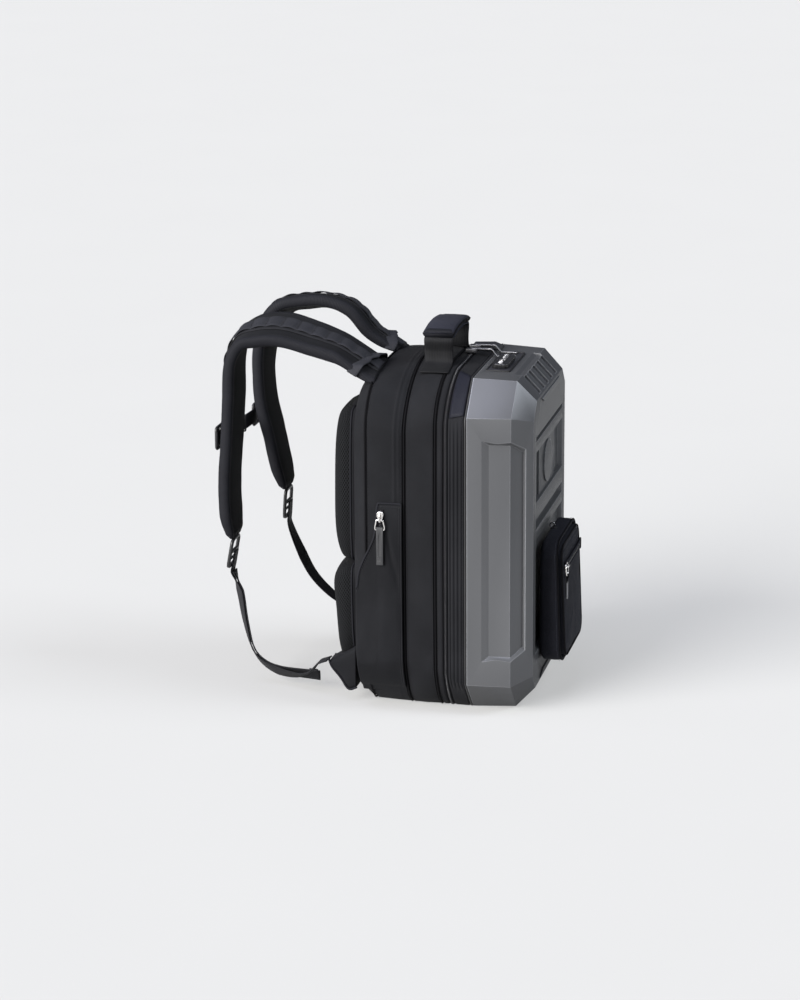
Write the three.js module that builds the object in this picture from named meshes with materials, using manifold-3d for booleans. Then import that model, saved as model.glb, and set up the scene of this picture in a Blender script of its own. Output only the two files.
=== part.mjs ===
// Hard shell travel backpack. Millimetres, +Z up, shell front towards -Y, wearer's left towards -X.
// The origin is on the floor, under the middle of the middle gusset's flat bottom.
import * as THREE from 'three';
import { mergeVertices } from 'three/addons/utils/BufferGeometryUtils.js';
import Module from 'manifold-3d';

const wasm = await Module();
wasm.setup();

// Hard shell
const bagWidth = 303.2;
const bagHeight = 456;
const rimCornerWide = 45.5;
const rimCornerTall = 44;
const shellWall = 2.6;
const sideDepth = 58.6;
const sideDraft = 5.8;
const topDraft = 2.4;
const frontDepth = 25.6;
const edgeCornerWide = 43.4;
const edgeCornerTall = 41;
const faceWidth = 239.6;
const faceHeight = 398;
const faceCornerWide = 21.7;
const faceCornerTall = 22.9;

// Pressed details of the shell
const sidePanelDepth = 4;
const sidePanelStart = 19;
const sidePanelFoot = 78;
const sidePanelTop = 382;
const sidePanelReach = 0.66;
const sidePanelTaper = 12;
const sidePanelSlope = 7;
const fieldWidth = 202;
const fieldDepth = 6.5;
const fieldFoot = 77;
const fieldTop = 378;
const fieldSlope = 3;
const bossRadius = 29;
const bossRise = 2.4;
const bossPanelWidth = 116;
const bossPanelRise = 2.6;
const ventWidth = 134;
const ventCount = 5;
const ventGroove = 14;
const ventGrooveDepth = 3;
const ventValleyStart = 45;
const ventValleyDepth = 2.8;
const ventLipHeight = 11;
const ventLipRise = 2;
const ventLipTaper = 18;
const ventMargin = 0.05;

// Soft body
const frontGussetDepth = 42;
const middleGussetDepth = 42;
const rearGussetDepth = 52;
const backPanelDepth = 22;
const clothWall = 2;
const backPadding = 7;
const gussetPuff = 1.6;
const pipingWidth = 2.8;
const pipingProud = 1.3;
const clearance = 0.3;
const trimWidth = 3;
const mainZipSetback = 28;
const mainZipWidth = 6;

// Back pads
const padHalfWidth = 125;
const upperPadThick = 33;
const lowerPadThick = 36;
const padGap = 4;
const padFoot = 50;
const padSplit = 196;
const padTop = 420;
const padChannel = 18;
const padChannelShare = 0.6;
const wingTop = 79;
const wingTip = 57;
const wingReach = 12;
const wingInset = 84;
const wingWidth = 38;

// Side pockets, zip slider and pull
const pocketProud = 5.5;
const pocketCloth = 1.5;
const pocketTop = 292;
const pocketSetback = 3;
const pocketWrap = 12;
const pocketFoot = 20;
const sliderWidth = 8;
const sliderLength = 15;
const sliderThick = 4;
const sideZipSetback = 30.5;
const sideZipTop = 282;
const linkWidth = 14;
const linkLength = 13;
const linkWire = 2.2;
const tabWidth = 9;
const tabLength = 52;
const tabThick = 2.4;

// Carry handle
const handleWidth = 39;
const handleSpan = 100;
const handleRise = 38;
const handlePadThick = 6;
const handlePadExtra = 2;
const handleSetback = 15.5;
const webbingThick = 1.8;

// Lock and main zip pulls
const lockPlateLength = 114;
const lockPlateWidth = 31;
const lockPlateThick = 1.8;
const lockPlateStart = 8;
const lockCaseLength = 60;
const lockCaseWidth = 22;
const lockCaseHeight = 6.5;
const lockCaseOffset = -15;
const lockCaseCorner = 4;
const lockCaseBevel = 1;
const dialRadius = 4;
const dialProud = 1.6;
const dialGap = 0.4;
const dialShaft = 1.1;
const dialWidth = 3.4;
const dialPitch = 6.5;
const dialCount = 3;
const buttonInset = 6;
const buttonLength = 12;
const buttonWidth = 6;
const buttonHeight = 2.2;
const buttonTravel = 3;
const pullLength = 58;
const pullWidth = 6;
const pullThick = 2.6;
const pullDrop = 4;
const pullPitch = 27;
const pullOffset = 36.5;
const restOffset = 78;
const restRear = 36;
const restLength = 40;
const restWidth = 26;
const restHeight = 6;

// Shoulder straps
const strapSpacing = 140;
const strapWidth = 80;
const strapThick = 17;
const strapReach = 210;
const daisyWidth = 36;
const daisyThick = 2;
const lowerWebbingWidth = 20;
const lockBarThick = 5;
const lockFrameWidth = 34;
const lockFrameLength = 40;
const lockTilt = 0.35;
const sternumWidth = 20;
const sternumHeight = 350;
const sternumSag = -6;
const buckleLength = 46;
const buckleWidth = 26;
const buckleThick = 10;

// Front pouch
const pouchWidth = 150;
const pouchHeight = 170;
const pouchFoot = 56;
const pouchDepth = 24;
const pouchFootExtra = 6;
const pouchCorner = 26;
const pouchWall = 2;
const pouchZipWidth = 6;
const pouchTabWidth = 14;
const pouchTabLength = 34;
const ringRadius = 3.2;
const ringWire = 1.1;

// Planes that the pieces share
const halfWidth = bagWidth / 2;
const midHeight = bagHeight / 2;
const rimY = -(frontGussetDepth + middleGussetDepth / 2);
const frontSeamY = rimY + frontGussetDepth;
const middleSeamY = frontSeamY + middleGussetDepth;
const rearSeamY = middleSeamY + rearGussetDepth;
const backY = rearSeamY + backPanelDepth;
const edgeY = rimY - sideDepth;
const faceY = edgeY - frontDepth;
const edgeHalfWidth = halfWidth - sideDraft;
const edgeTop = bagHeight - topDraft;
const chamferShare = 2 - Math.SQRT2;

const group = new THREE.Group();

function addMesh(name, geometry, colour, roughness, metalness) {
  const material = new THREE.MeshStandardMaterial({ color: colour, roughness, metalness });
  const mesh = new THREE.Mesh(geometry, material);
  mesh.name = name;
  group.add(mesh);
  return mesh;
}

const shellFinish = [0x6d6e77, 0.38, 0.55];
const clothFinish = [0x23242b, 0.85, 0];
const pipingFinish = [0x111115, 0.6, 0];
const meshFinish = [0x16171a, 0.95, 0];
const webbingFinish = [0x17181c, 0.8, 0];
const darkMetalFinish = [0x55565c, 0.3, 1];
const brightMetalFinish = [0xc8c8cc, 0.22, 1];
const plasticFinish = [0x0e0e10, 0.5, 0];
const pouchFinish = [0x1d1f29, 0.8, 0];
const rubberFinish = [0x4a4b4f, 0.55, 0];

// A closed mesh as a solid that can be joined and cut
function toSolid(geometry) {
  const plain = new THREE.BufferGeometry();
  plain.setAttribute('position', geometry.getAttribute('position').clone());
  if (geometry.index) plain.setIndex(geometry.index.clone());
  const merged = mergeVertices(plain, 1e-4);
  const vertProperties = new Float32Array(merged.getAttribute('position').array);
  const triVerts = new Uint32Array(merged.index.array);
  return new wasm.Manifold(new wasm.Mesh({ numProp: 3, vertProperties, triVerts }));
}

function toGeometry(solid) {
  const mesh = solid.getMesh();
  const geometry = new THREE.BufferGeometry();
  geometry.setAttribute('position', new THREE.BufferAttribute(new Float32Array(mesh.vertProperties), 3));
  geometry.setIndex(new THREE.BufferAttribute(new Uint32Array(mesh.triVerts), 1));
  return geometry;
}

function joined(solids) {
  return solids.reduce((whole, piece) => whole.add(piece));
}

function signedVolume(points, faces) {
  const cross = new THREE.Vector3();
  let total = 0;
  for (const [a, b, c] of faces) total += points[a].dot(cross.crossVectors(points[b], points[c]));
  return total / 6;
}

// Flat triangulation of one ring of points
function capFaces(ring) {
  const normal = new THREE.Vector3();
  ring.forEach((p, i) => {
    const q = ring[(i + 1) % ring.length];
    normal.x += (p.y - q.y) * (p.z + q.z);
    normal.y += (p.z - q.z) * (p.x + q.x);
    normal.z += (p.x - q.x) * (p.y + q.y);
  });
  normal.normalize();
  const across = Math.abs(normal.z) < 0.9 ? new THREE.Vector3(0, 0, 1) : new THREE.Vector3(1, 0, 0);
  across.cross(normal).normalize();
  const along = new THREE.Vector3().crossVectors(normal, across);
  const flat = ring.map((p) => new THREE.Vector2(p.dot(across), p.dot(along)));
  return THREE.ShapeUtils.triangulateShape(flat, []);
}

// Skin through rings of equally many points: capped at both ends, or joined last to first
function skin(rings, { ringsJoin = false } = {}) {
  const count = rings[0].length;
  const points = rings.flat();
  const faces = [];
  const spans = ringsJoin ? rings.length : rings.length - 1;
  for (let r = 0; r < spans; r += 1) {
    const from = r * count;
    const to = ((r + 1) % rings.length) * count;
    for (let i = 0; i < count; i += 1) {
      const j = (i + 1) % count;
      faces.push([from + i, from + j, to + j], [from + i, to + j, to + i]);
    }
  }
  if (!ringsJoin) {
    const last = (rings.length - 1) * count;
    for (const [a, b, c] of capFaces(rings[0])) faces.push([c, b, a]);
    for (const [a, b, c] of capFaces(rings[rings.length - 1])) faces.push([last + a, last + b, last + c]);
  }
  const outward = signedVolume(points, faces) > 0;
  const geometry = new THREE.BufferGeometry();
  geometry.setFromPoints(points);
  geometry.setIndex(faces.flatMap(([a, b, c]) => (outward ? [a, b, c] : [a, c, b])));
  return geometry;
}

function boxSolid(low, high) {
  const span = new THREE.Vector3().subVectors(high, low);
  const geometry = new THREE.BoxGeometry(span.x, span.y, span.z);
  geometry.translate(low.x + span.x / 2, low.y + span.y / 2, low.z + span.z / 2);
  return toSolid(geometry);
}

function vector(x, y, z) {
  return new THREE.Vector3(x, y, z);
}

// Octagon of the shell at one depth, moved inwards by inset
function octagon(y, wide, low, high, cornerWide, cornerTall, inset) {
  const w = wide - inset;
  const lo = low + inset;
  const hi = high - inset;
  const cw = cornerWide - inset * chamferShare;
  const ct = cornerTall - inset * chamferShare;
  const corners = [[w - cw, lo], [w, lo + ct], [w, hi - ct], [w - cw, hi]];
  const mirrored = corners.map(([x, z]) => [-x, z]).reverse();
  return [...corners, ...mirrored].map(([x, z]) => vector(x, y, z));
}

// Plain outer form of the shell, moved inwards by inset and open at the rim when it is a cavity
function shellForm(inset, overRim) {
  const slope = Math.atan2(frontDepth, edgeHalfWidth - faceWidth / 2);
  const edgeShift = inset * Math.tan(slope / 2);
  return toSolid(skin([
    octagon(rimY + overRim, halfWidth, 0, bagHeight, rimCornerWide, rimCornerTall, inset),
    octagon(edgeY + edgeShift, edgeHalfWidth, topDraft, edgeTop, edgeCornerWide, edgeCornerTall, inset),
    octagon(
      faceY + inset,
      faceWidth / 2 + edgeShift,
      midHeight - faceHeight / 2 - edgeShift,
      midHeight + faceHeight / 2 + edgeShift,
      faceCornerWide,
      faceCornerTall,
      inset,
    ),
  ]));
}

// Rod between two points
function rod(from, to, radius, sides) {
  const span = new THREE.Vector3().subVectors(to, from);
  const geometry = new THREE.CylinderGeometry(radius, radius, span.length(), sides);
  geometry.applyQuaternion(new THREE.Quaternion().setFromUnitVectors(vector(0, 1, 0), span.clone().normalize()));
  geometry.translate((from.x + to.x) / 2, (from.y + to.y) / 2, (from.z + to.z) / 2);
  return toSolid(geometry);
}

// Solid of one outline in the YZ plane, between two places along X
function acrossX(outline, fromX, toX) {
  return toSolid(skin([fromX, toX].map((x) => outline.map(([y, z]) => vector(x, y, z)))));
}

// Bars that cross the sunken field: foot and top as shares of the bag's height
const bars = [
  { foot: 0.783, top: 0.815 },
  { foot: 0.581, top: 0.63 },
  { foot: 0.52, top: 0.549 },
];

function faceBar(bar, half, floorY, grow) {
  const foot = bar.foot * bagHeight + grow;
  const top = bar.top * bagHeight - grow;
  const before = faceY - 2 * ventLipRise;
  return acrossX([
    [before, foot], [faceY + grow, foot], [floorY, foot - fieldSlope],
    [floorY, top + fieldSlope], [faceY + grow, top], [before, top],
  ], -half, half);
}

// Raised panel with a round boss between the two upper bars
function bossPanel(floorY, grow) {
  const panelY = faceY + fieldDepth - bossPanelRise + grow;
  const foot = bars[1].top * bagHeight;
  const top = bars[0].foot * bagHeight;
  const half = bossPanelWidth / 2 - grow;
  const panel = boxSolid(vector(-half, panelY, foot - fieldSlope), vector(half, floorY, top + fieldSlope));
  const middle = (foot + top) / 2;
  const boss = rod(vector(0, panelY - bossRise, middle), vector(0, floorY, middle), bossRadius - grow, 24);
  return panel.add(boss);
}

// Sunken field of the front, its bars and boss left standing; grow moves the walls outwards
function faceField(grow) {
  const before = faceY - 1.5 * ventLipRise;
  const floorY = faceY + fieldDepth + grow;
  const ring = (y, slope) => {
    const half = fieldWidth / 2 + grow - slope;
    const foot = fieldFoot - grow + slope;
    const top = fieldTop + grow - slope;
    return [vector(-half, y, foot), vector(half, y, foot), vector(half, y, top), vector(-half, y, top)];
  };
  const field = toSolid(skin([ring(before, 0), ring(faceY, 0), ring(floorY, fieldSlope)]));
  const behind = floorY + fieldDepth;
  const standing = bars.map((bar) => faceBar(bar, fieldWidth, behind, grow));
  return field.subtract(joined([...standing, bossPanel(behind, grow)]));
}

// Sunken panel that wraps one side and part of its sloped front border
function sidePanel(side, grow) {
  const start = rimY - sidePanelStart + grow;
  const end = edgeY - frontDepth * sidePanelReach - grow;
  const foot = sidePanelFoot - grow;
  const top = sidePanelTop + grow;
  const ring = (x, slope) => {
    const rear = start - slope;
    const front = end + slope / 4;
    const low = foot + slope / 2;
    const high = top - slope / 2;
    return [
      [rear, low], [edgeY, low], [front, low + sidePanelTaper],
      [front, high - sidePanelTaper], [edgeY, high], [rear, high],
    ].map(([y, z]) => vector(side * x, y, z));
  };
  const outerX = halfWidth + sidePanelDepth;
  const floorX = halfWidth - sidePanelDepth - grow;
  const innerX = faceWidth / 2 - 2 * sidePanelDepth - grow;
  const prism = toSolid(skin([ring(outerX, 0), ring(halfWidth, 0), ring(floorX, sidePanelSlope), ring(innerX, sidePanelSlope)]));
  return prism.subtract(shellForm(sidePanelDepth + grow, 1));
}

// Ribbed vent over the edge between an end wall and the face; up is 1 at the head and -1 at the foot
function ventCuts(up, grow) {
  const edge = new THREE.Vector2(edgeY, midHeight + up * (edgeTop - midHeight));
  const face = new THREE.Vector2(faceY, midHeight + up * faceHeight / 2);
  const along = face.clone().sub(edge);
  const length = along.length();
  along.normalize();
  const inwards = new THREE.Vector2(-along.y * up, along.x * up);
  const at = (share, sink) => {
    const p = edge.clone().addScaledVector(along, share * length).addScaledVector(inwards, sink);
    return [p.x, p.y];
  };
  const longer = grow / length;
  const lean = ventGrooveDepth / length;
  const groove = [
    at(ventMargin - longer, -ventGrooveDepth),
    at(1 - ventMargin + longer, -ventGrooveDepth),
    at(1 - ventMargin - lean + longer, ventGrooveDepth + grow),
    at(ventMargin + lean - longer, ventGrooveDepth + grow),
  ];
  const pitch = (ventWidth - ventGroove) / (ventCount - 1);
  const half = ventGroove / 2 + grow;
  const cuts = [];
  for (let i = 0; i < ventCount; i += 1) {
    const x = i * pitch - (ventWidth - ventGroove) / 2;
    cuts.push(acrossX(groove, x - half, x + half));
  }
  const endZ = (sink) => midHeight + up * (edgeTop - midHeight - sink);
  const valleyY = rimY - ventValleyStart + grow;
  const past = edgeY - 3 * ventValleyDepth;
  cuts.push(acrossX([
    [valleyY, endZ(-3 * topDraft)], [valleyY, endZ(-topDraft)], [valleyY - 3 * ventValleyDepth, endZ(ventValleyDepth + grow)],
    [past, endZ(ventValleyDepth + grow)], [past, endZ(-3 * topDraft)],
  ], -ventWidth / 2 - grow, ventWidth / 2 + grow));
  return joined(cuts);
}

// Raised lip on the face below a vent
function ventLip(up) {
  const high = faceHeight / 2 - ventLipRise;
  const low = high - ventLipHeight;
  const wide = ventWidth / 2 + ventLipRise;
  const narrow = wide - ventLipTaper;
  const ring = (y, bevel) => [
    [-wide + bevel, high - bevel], [wide - bevel, high - bevel], [narrow - bevel, low + bevel], [-narrow + bevel, low + bevel],
  ].map(([x, z]) => vector(x, y, midHeight + up * z));
  return toSolid(skin([ring(faceY - ventLipRise, ventLipRise), ring(faceY + shellWall, 0)]));
}

// Height of the shell's top wall at one depth
function shellTop(y) {
  return bagHeight - topDraft * (rimY - y) / sideDepth;
}

const plateRearY = rimY - lockPlateStart;
const plateFrontY = plateRearY - lockPlateWidth;
const plateMiddleY = (plateRearY + plateFrontY) / 2;
const plateTop = shellTop(plateRearY);

// Room for the lock plate in the top wall
function lockSeat(grow) {
  const half = lockPlateLength / 2 + clearance + grow;
  return boxSolid(
    vector(-half, plateFrontY - clearance - grow, plateTop - lockPlateThick - clearance - grow),
    vector(half, plateRearY + clearance + grow, bagHeight + lockCaseHeight),
  );
}

function hardShell() {
  const pressed = (grow) => joined([
    faceField(grow), sidePanel(-1, grow), sidePanel(1, grow), ventCuts(1, grow), ventCuts(-1, grow), lockSeat(grow),
  ]);
  const outside = shellForm(0, -clearance).add(ventLip(1)).add(ventLip(-1)).subtract(pressed(0));
  const cavity = shellForm(shellWall, clearance).subtract(pressed(shellWall));
  return outside.subtract(cavity);
}

// Soft body: a row for each seam. side, corner and foot widths are shares of the half width,
// top, base and the tall values are shares of the height, round goes from a straight corner to an arc
const seams = [
  {
    y: rimY, side: 1, top: 1, base: 0, cornerWide: 0.3, cornerTall: 0.0965, footWide: 0.3, footTall: 0.0965,
    round: 0, footRound: 0, bow: 0,
  },
  {
    y: frontSeamY, side: 0.985, top: 1.006, base: 0, cornerWide: 0.63, cornerTall: 0.13, footWide: 0.3,
    footTall: 0.14, round: 0.9, footRound: 0.5, bow: 0.02,
  },
  {
    y: middleSeamY, side: 0.99, top: 1.014, base: 0, cornerWide: 0.71, cornerTall: 0.158, footWide: 0.31,
    footTall: 0.16, round: 0.72, footRound: 0.5, bow: 0.015,
  },
  {
    y: rearSeamY, side: 1.01, top: 0.997, base: 0, cornerWide: 0.63, cornerTall: 0.14, footWide: 0.37,
    footTall: 0.15, round: 1, footRound: 0.4, bow: 0,
  },
  {
    y: backY, side: 0.87, top: 0.955, base: 0.035, cornerWide: 0.5, cornerTall: 0.14, footWide: 0.3,
    footTall: 0.13, round: 1, footRound: 0.6, bow: 0,
  },
];
const crownShare = 0.004;
const formSteps = 4;
const cornerSteps = 4;
const sideSteps = 4;

function seamAt(y) {
  let i = 0;
  while (i < seams.length - 2 && y > seams[i + 1].y) i += 1;
  const from = seams[i];
  const to = seams[i + 1];
  const share = (y - from.y) / (to.y - from.y);
  return Object.fromEntries(Object.keys(from).map((key) => [key, from[key] + (to[key] - from[key]) * share]));
}

// Quarter corner between a straight cut and an arc
function cornerPoints(centreX, centreZ, wide, tall, from, round) {
  return Array.from({ length: cornerSteps + 1 }, (_, i) => {
    const share = i / cornerSteps;
    const angle = from + share * Math.PI / 2;
    const lineX = Math.cos(from) * (1 - share) + Math.cos(from + Math.PI / 2) * share;
    const lineZ = Math.sin(from) * (1 - share) + Math.sin(from + Math.PI / 2) * share;
    const x = lineX + (Math.cos(angle) - lineX) * round;
    const z = lineZ + (Math.sin(angle) - lineZ) * round;
    return [centreX + wide * x, centreZ + tall * z];
  });
}

// Outline of the soft body at one depth, moved outwards by grow; a flat foot stays on the floor
function bodyOutline(y, grow, flatFoot = false) {
  const seam = seamAt(y);
  const wide = seam.side * halfWidth + grow;
  const top = seam.top * bagHeight + grow;
  const foot = seam.base * bagHeight - (flatFoot ? 0 : grow);
  const bow = seam.bow * halfWidth;
  const crown = crownShare * bagHeight * seam.round;
  const cornerGrow = grow * (1 - chamferShare + chamferShare * seam.round);
  const cornerWide = seam.cornerWide * halfWidth + cornerGrow;
  const cornerTall = seam.cornerTall * bagHeight + cornerGrow;
  const footWide = seam.footWide * halfWidth + cornerGrow;
  const footTall = seam.footTall * bagHeight + cornerGrow;
  const low = foot + footTall;
  const high = top - cornerTall;
  const bowed = Array.from({ length: sideSteps - 1 }, (_, i) => {
    const share = (i + 1) / sideSteps;
    return [wide + bow * Math.sin(Math.PI * share), low + (high - low) * share];
  });
  const right = [
    ...cornerPoints(wide - footWide, low, footWide, footTall, -Math.PI / 2, seam.footRound),
    ...bowed,
    ...cornerPoints(wide - cornerWide, high, cornerWide, cornerTall, 0, seam.round),
  ];
  const crownHalf = (wide - cornerWide) / 2;
  const crownPoints = [[crownHalf, top + crown], [0, top + crown], [-crownHalf, top + crown]];
  const left = right.map(([x, z]) => [-x, z]).reverse();
  return [...right, ...crownPoints, ...left].map(([x, z]) => vector(x, y, z));
}

// Where an outline crosses a line: the other coordinate at its highest or widest crossing
function outlineReach(y, grow, along, value) {
  const ring = bodyOutline(y, grow);
  const reach = along === 'x' ? 'z' : 'x';
  let best = -Infinity;
  ring.forEach((p, i) => {
    const q = ring[(i + 1) % ring.length];
    const span = q[along] - p[along];
    const share = (value - p[along]) / span;
    if (span !== 0 && share >= 0 && share <= 1) best = Math.max(best, p[reach] + (q[reach] - p[reach]) * share);
  });
  return best;
}

function topHeight(x, y) {
  return outlineReach(y, gussetPuff, 'x', x);
}

function sideReach(y, z) {
  return outlineReach(y, gussetPuff, 'z', z);
}

// Open ring of cloth between two depths, fuller by puff halfway
function clothRing(fromY, toY, wall, puff) {
  const stops = [0, 0.5, 1].map((share) => ({ y: fromY + (toY - fromY) * share, full: puff * Math.sin(Math.PI * share) }));
  const outer = stops.map(({ y, full }) => bodyOutline(y, full, true));
  const inner = stops.map(({ y, full }) => bodyOutline(y, full - wall)).reverse();
  return skin([...outer, ...inner], { ringsJoin: true });
}

function piping(y) {
  const half = pipingWidth / 2;
  return skin([
    bodyOutline(y - half, 0, true),
    bodyOutline(y - half / 2, pipingProud, true),
    bodyOutline(y + half / 2, pipingProud, true),
    bodyOutline(y + half, 0, true),
    bodyOutline(y + half, -clothWall),
    bodyOutline(y - half, -clothWall),
  ], { ringsJoin: true });
}

// The soft body filled in and moved outwards by grow, to cut what lies on it
function bodyForm(grow) {
  const swell = grow + gussetPuff;
  const rings = [bodyOutline(rimY - grow, grow)];
  for (let i = 0; i + 2 < seams.length; i += 1) {
    const step = (seams[i + 1].y - seams[i].y) / formSteps;
    for (let k = 1; k <= formSteps; k += 1) rings.push(bodyOutline(seams[i].y + k * step, swell));
  }
  return toSolid(skin([...rings, bodyOutline(backY, grow), bodyOutline(backY + grow, 0)]));
}

function backPanel() {
  const start = rearSeamY + pipingWidth / 2 + clearance;
  const outer = toSolid(skin([
    bodyOutline(start, 0, true),
    bodyOutline(backY - backPadding / 2, 0),
    bodyOutline(backY, -backPadding / 2),
  ]));
  const inner = toSolid(skin([
    bodyOutline(start - clearance, -backPadding),
    bodyOutline(backY - backPadding, -backPadding),
  ]));
  return outer.subtract(inner);
}

// Moulded back pads: a row for each height; out is a share of the thickness, wide of the half width
const upperPadRows = [
  { at: 0, out: 0.35, wide: 0.88 },
  { at: 0.05, out: 0.8, wide: 0.96 },
  { at: 0.2, out: 0.98, wide: 1 },
  { at: 0.5, out: 1, wide: 1 },
  { at: 0.75, out: 0.93, wide: 0.98 },
  { at: 0.9, out: 0.75, wide: 0.92 },
  { at: 1, out: 0.3, wide: 0.78 },
];
const lowerPadRows = [
  { at: 0, out: 0.8, wide: 0.9 },
  { at: 0.15, out: 0.86, wide: 0.95 },
  { at: 0.5, out: 0.93, wide: 0.99 },
  { at: 0.8, out: 1, wide: 1 },
  { at: 0.93, out: 0.82, wide: 0.98 },
  { at: 1, out: 0.35, wide: 0.9 },
];

function backPad(rows, foot, top, thick) {
  const seat = backY + clearance;
  return toSolid(skin(rows.map((row) => {
    const wide = padHalfWidth * row.wide;
    const out = seat + thick * row.out;
    const half = [
      [padChannel, seat + thick * row.out * padChannelShare], [2 * padChannel, out - thick * 0.03],
      [wide * 0.65, out], [wide * 0.9, out - thick * 0.1], [wide, seat + thick * row.out * 0.5], [wide, seat],
    ];
    const left = half.map(([x, y]) => [-x, y]).reverse();
    return [...half, ...left].map(([x, y]) => vector(x, y, foot + (top - foot) * row.at));
  })));
}

// Everything below the slanted edge that the lower pad shares with the wings
function belowWingEdge(drop) {
  const rear = backY + lowerPadThick + wingReach;
  return acrossX([
    [backY - backPadding, -wingTop], [rear, -wingTop],
    [rear, wingTip - drop - (wingTop - wingTip) * wingReach / lowerPadThick],
    [backY - backPadding, wingTop - drop + (wingTop - wingTip) * backPadding / lowerPadThick],
  ], -bagWidth, bagWidth);
}

// Sewn wing at the foot of the back that holds the lower webbing: y is a share of its reach, z of its top
const wingOutline = [
  { out: 0, height: 0.24 }, { out: 0.3, height: 0.2 }, { out: 0.62, height: 0.4 }, { out: 1, height: 0.62 },
  { out: 1.08, height: 0.75 }, { out: 1, height: 1.4 }, { out: 0, height: 1.4 },
];

function anchorWing(side) {
  const seat = backY + clearance;
  const outline = wingOutline.map((row) => [seat + row.out * lowerPadThick, row.height * wingTop]);
  const inner = wingInset;
  const outer = wingInset + wingWidth;
  return acrossX(outline, side * inner, side * outer).intersect(belowWingEdge(clearance));
}

// Points along a table of rows, each with a place, a width, a thickness and a roll
function bandStations(rows, steps) {
  const centre = new THREE.CatmullRomCurve3(rows.map((row) => vector(row.x, row.y, row.z)), false, 'centripetal');
  return Array.from({ length: steps + 1 }, (_, i) => {
    const share = i / steps;
    const place = share * (rows.length - 1);
    const k = Math.min(rows.length - 2, Math.floor(place));
    const mixed = (key) => (rows[k][key] ?? 0) * (k + 1 - place) + (rows[k + 1][key] ?? 0) * (place - k);
    return {
      position: centre.getPoint(share),
      tangent: centre.getTangent(share),
      width: mixed('width'),
      thick: mixed('thick'),
      roll: mixed('roll'),
    };
  });
}

const paddedSection = [
  [-0.5, -0.2], [-0.44, -0.5], [0.44, -0.5], [0.5, -0.2], [0.5, 0.2], [0.44, 0.5], [-0.44, 0.5], [-0.5, 0.2],
];
const flatSection = [[-0.5, -0.5], [0.5, -0.5], [0.5, 0.5], [-0.5, 0.5]];

// Band along a table of rows; its width lies along the across direction unless rolled, lift moves it off the path
function band(rows, steps, section, { lift = 0, across = vector(1, 0, 0) } = {}) {
  return toSolid(skin(bandStations(rows, steps).map((station) => {
    const sideways = across.clone().addScaledVector(station.tangent, -across.dot(station.tangent)).normalize();
    sideways.applyAxisAngle(station.tangent, THREE.MathUtils.degToRad(station.roll));
    const outwards = new THREE.Vector3().crossVectors(sideways, station.tangent).normalize();
    const middle = station.position.clone().addScaledVector(outwards, lift);
    return section.map(([w, h]) => middle.clone()
      .addScaledVector(sideways, w * station.width)
      .addScaledVector(outwards, h * station.thick));
  })));
}

// Shoulder straps: reach is a share of strapReach behind the rear seam, height a share of the bag's height
const strapRows = {
  left: [
    { reach: -0.04, height: 1.008, wide: 1 },
    { reach: 0.19, height: 1.05, wide: 1 },
    { reach: 0.4, height: 1.088, wide: 1 },
    { reach: 0.63, height: 1.117, wide: 1 },
    { reach: 0.79, height: 1.108, wide: 1 },
    { reach: 0.885, height: 1.08, wide: 0.98 },
    { reach: 0.945, height: 1.015, wide: 0.96 },
    { reach: 0.962, height: 0.89, wide: 0.94 },
    { reach: 0.981, height: 0.76, wide: 0.9 },
    { reach: 1, height: 0.65, wide: 0.88 },
    { reach: 0.998, height: 0.54, wide: 0.86 },
    { reach: 0.972, height: 0.463, wide: 0.72 },
  ],
  right: [
    { reach: -0.04, height: 1.008, wide: 1 },
    { reach: 0.19, height: 1.05, wide: 1 },
    { reach: 0.333, height: 1.115, wide: 1 },
    { reach: 0.483, height: 1.138, wide: 1 },
    { reach: 0.652, height: 1.134, wide: 1 },
    { reach: 0.79, height: 1.116, wide: 1 },
    { reach: 0.881, height: 1.061, wide: 0.98 },
    { reach: 0.929, height: 0.982, wide: 0.96 },
    { reach: 0.943, height: 0.904, wide: 0.94 },
    { reach: 0.929, height: 0.809, wide: 0.92 },
    { reach: 0.881, height: 0.715, wide: 0.88 },
    { reach: 0.838, height: 0.62, wide: 0.86 },
    { reach: 0.79, height: 0.54, wide: 0.72 },
  ],
};
// Lower webbing from each ladder lock to its wing: out is a share of the way out from the wing to the strap line
const webbingRows = {
  left: [
    { reach: 0.955, height: 0.29, out: 0, roll: -38 },
    { reach: 0.92, height: 0.19, out: 0, roll: -30 },
    { reach: 0.87, height: 0.105, out: 0, roll: -20 },
    { reach: 0.8, height: 0.064, out: 0, roll: -35 },
    { reach: 0.7, height: 0.044, out: 0.1, roll: -50 },
    { reach: 0.57, height: 0.04, out: 0.3, roll: -40 },
    { reach: 0.46, height: 0.06, out: 0.6, roll: -10 },
    { reach: 0.38, height: 0.1, out: 0.9, roll: 0 },
    { reach: 0.312, height: 0.115, out: 1, roll: 0 },
  ],
  right: [
    { reach: 0.7, height: 0.32, out: 0.1, roll: 20 },
    { reach: 0.63, height: 0.25, out: 0.3, roll: 15 },
    { reach: 0.53, height: 0.19, out: 0.6, roll: 10 },
    { reach: 0.42, height: 0.145, out: 0.9, roll: 0 },
    { reach: 0.312, height: 0.115, out: 1, roll: 0 },
  ],
};
const strapSteps = 30;
const webbingSteps = 26;
const sideOf = { left: -1, right: 1 };

function reachPoint(row, x) {
  return { x, y: rearSeamY + row.reach * strapReach, z: row.height * bagHeight };
}

function strapPath(name, width, thick) {
  const x = sideOf[name] * strapSpacing / 2;
  return strapRows[name].map((row) => ({ ...reachPoint(row, x), width: width * row.wide, thick }));
}

function shoulderStrap(name) {
  return band(strapPath(name, strapWidth, strapThick), strapSteps, paddedSection).subtract(bodyForm(clearance));
}

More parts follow.
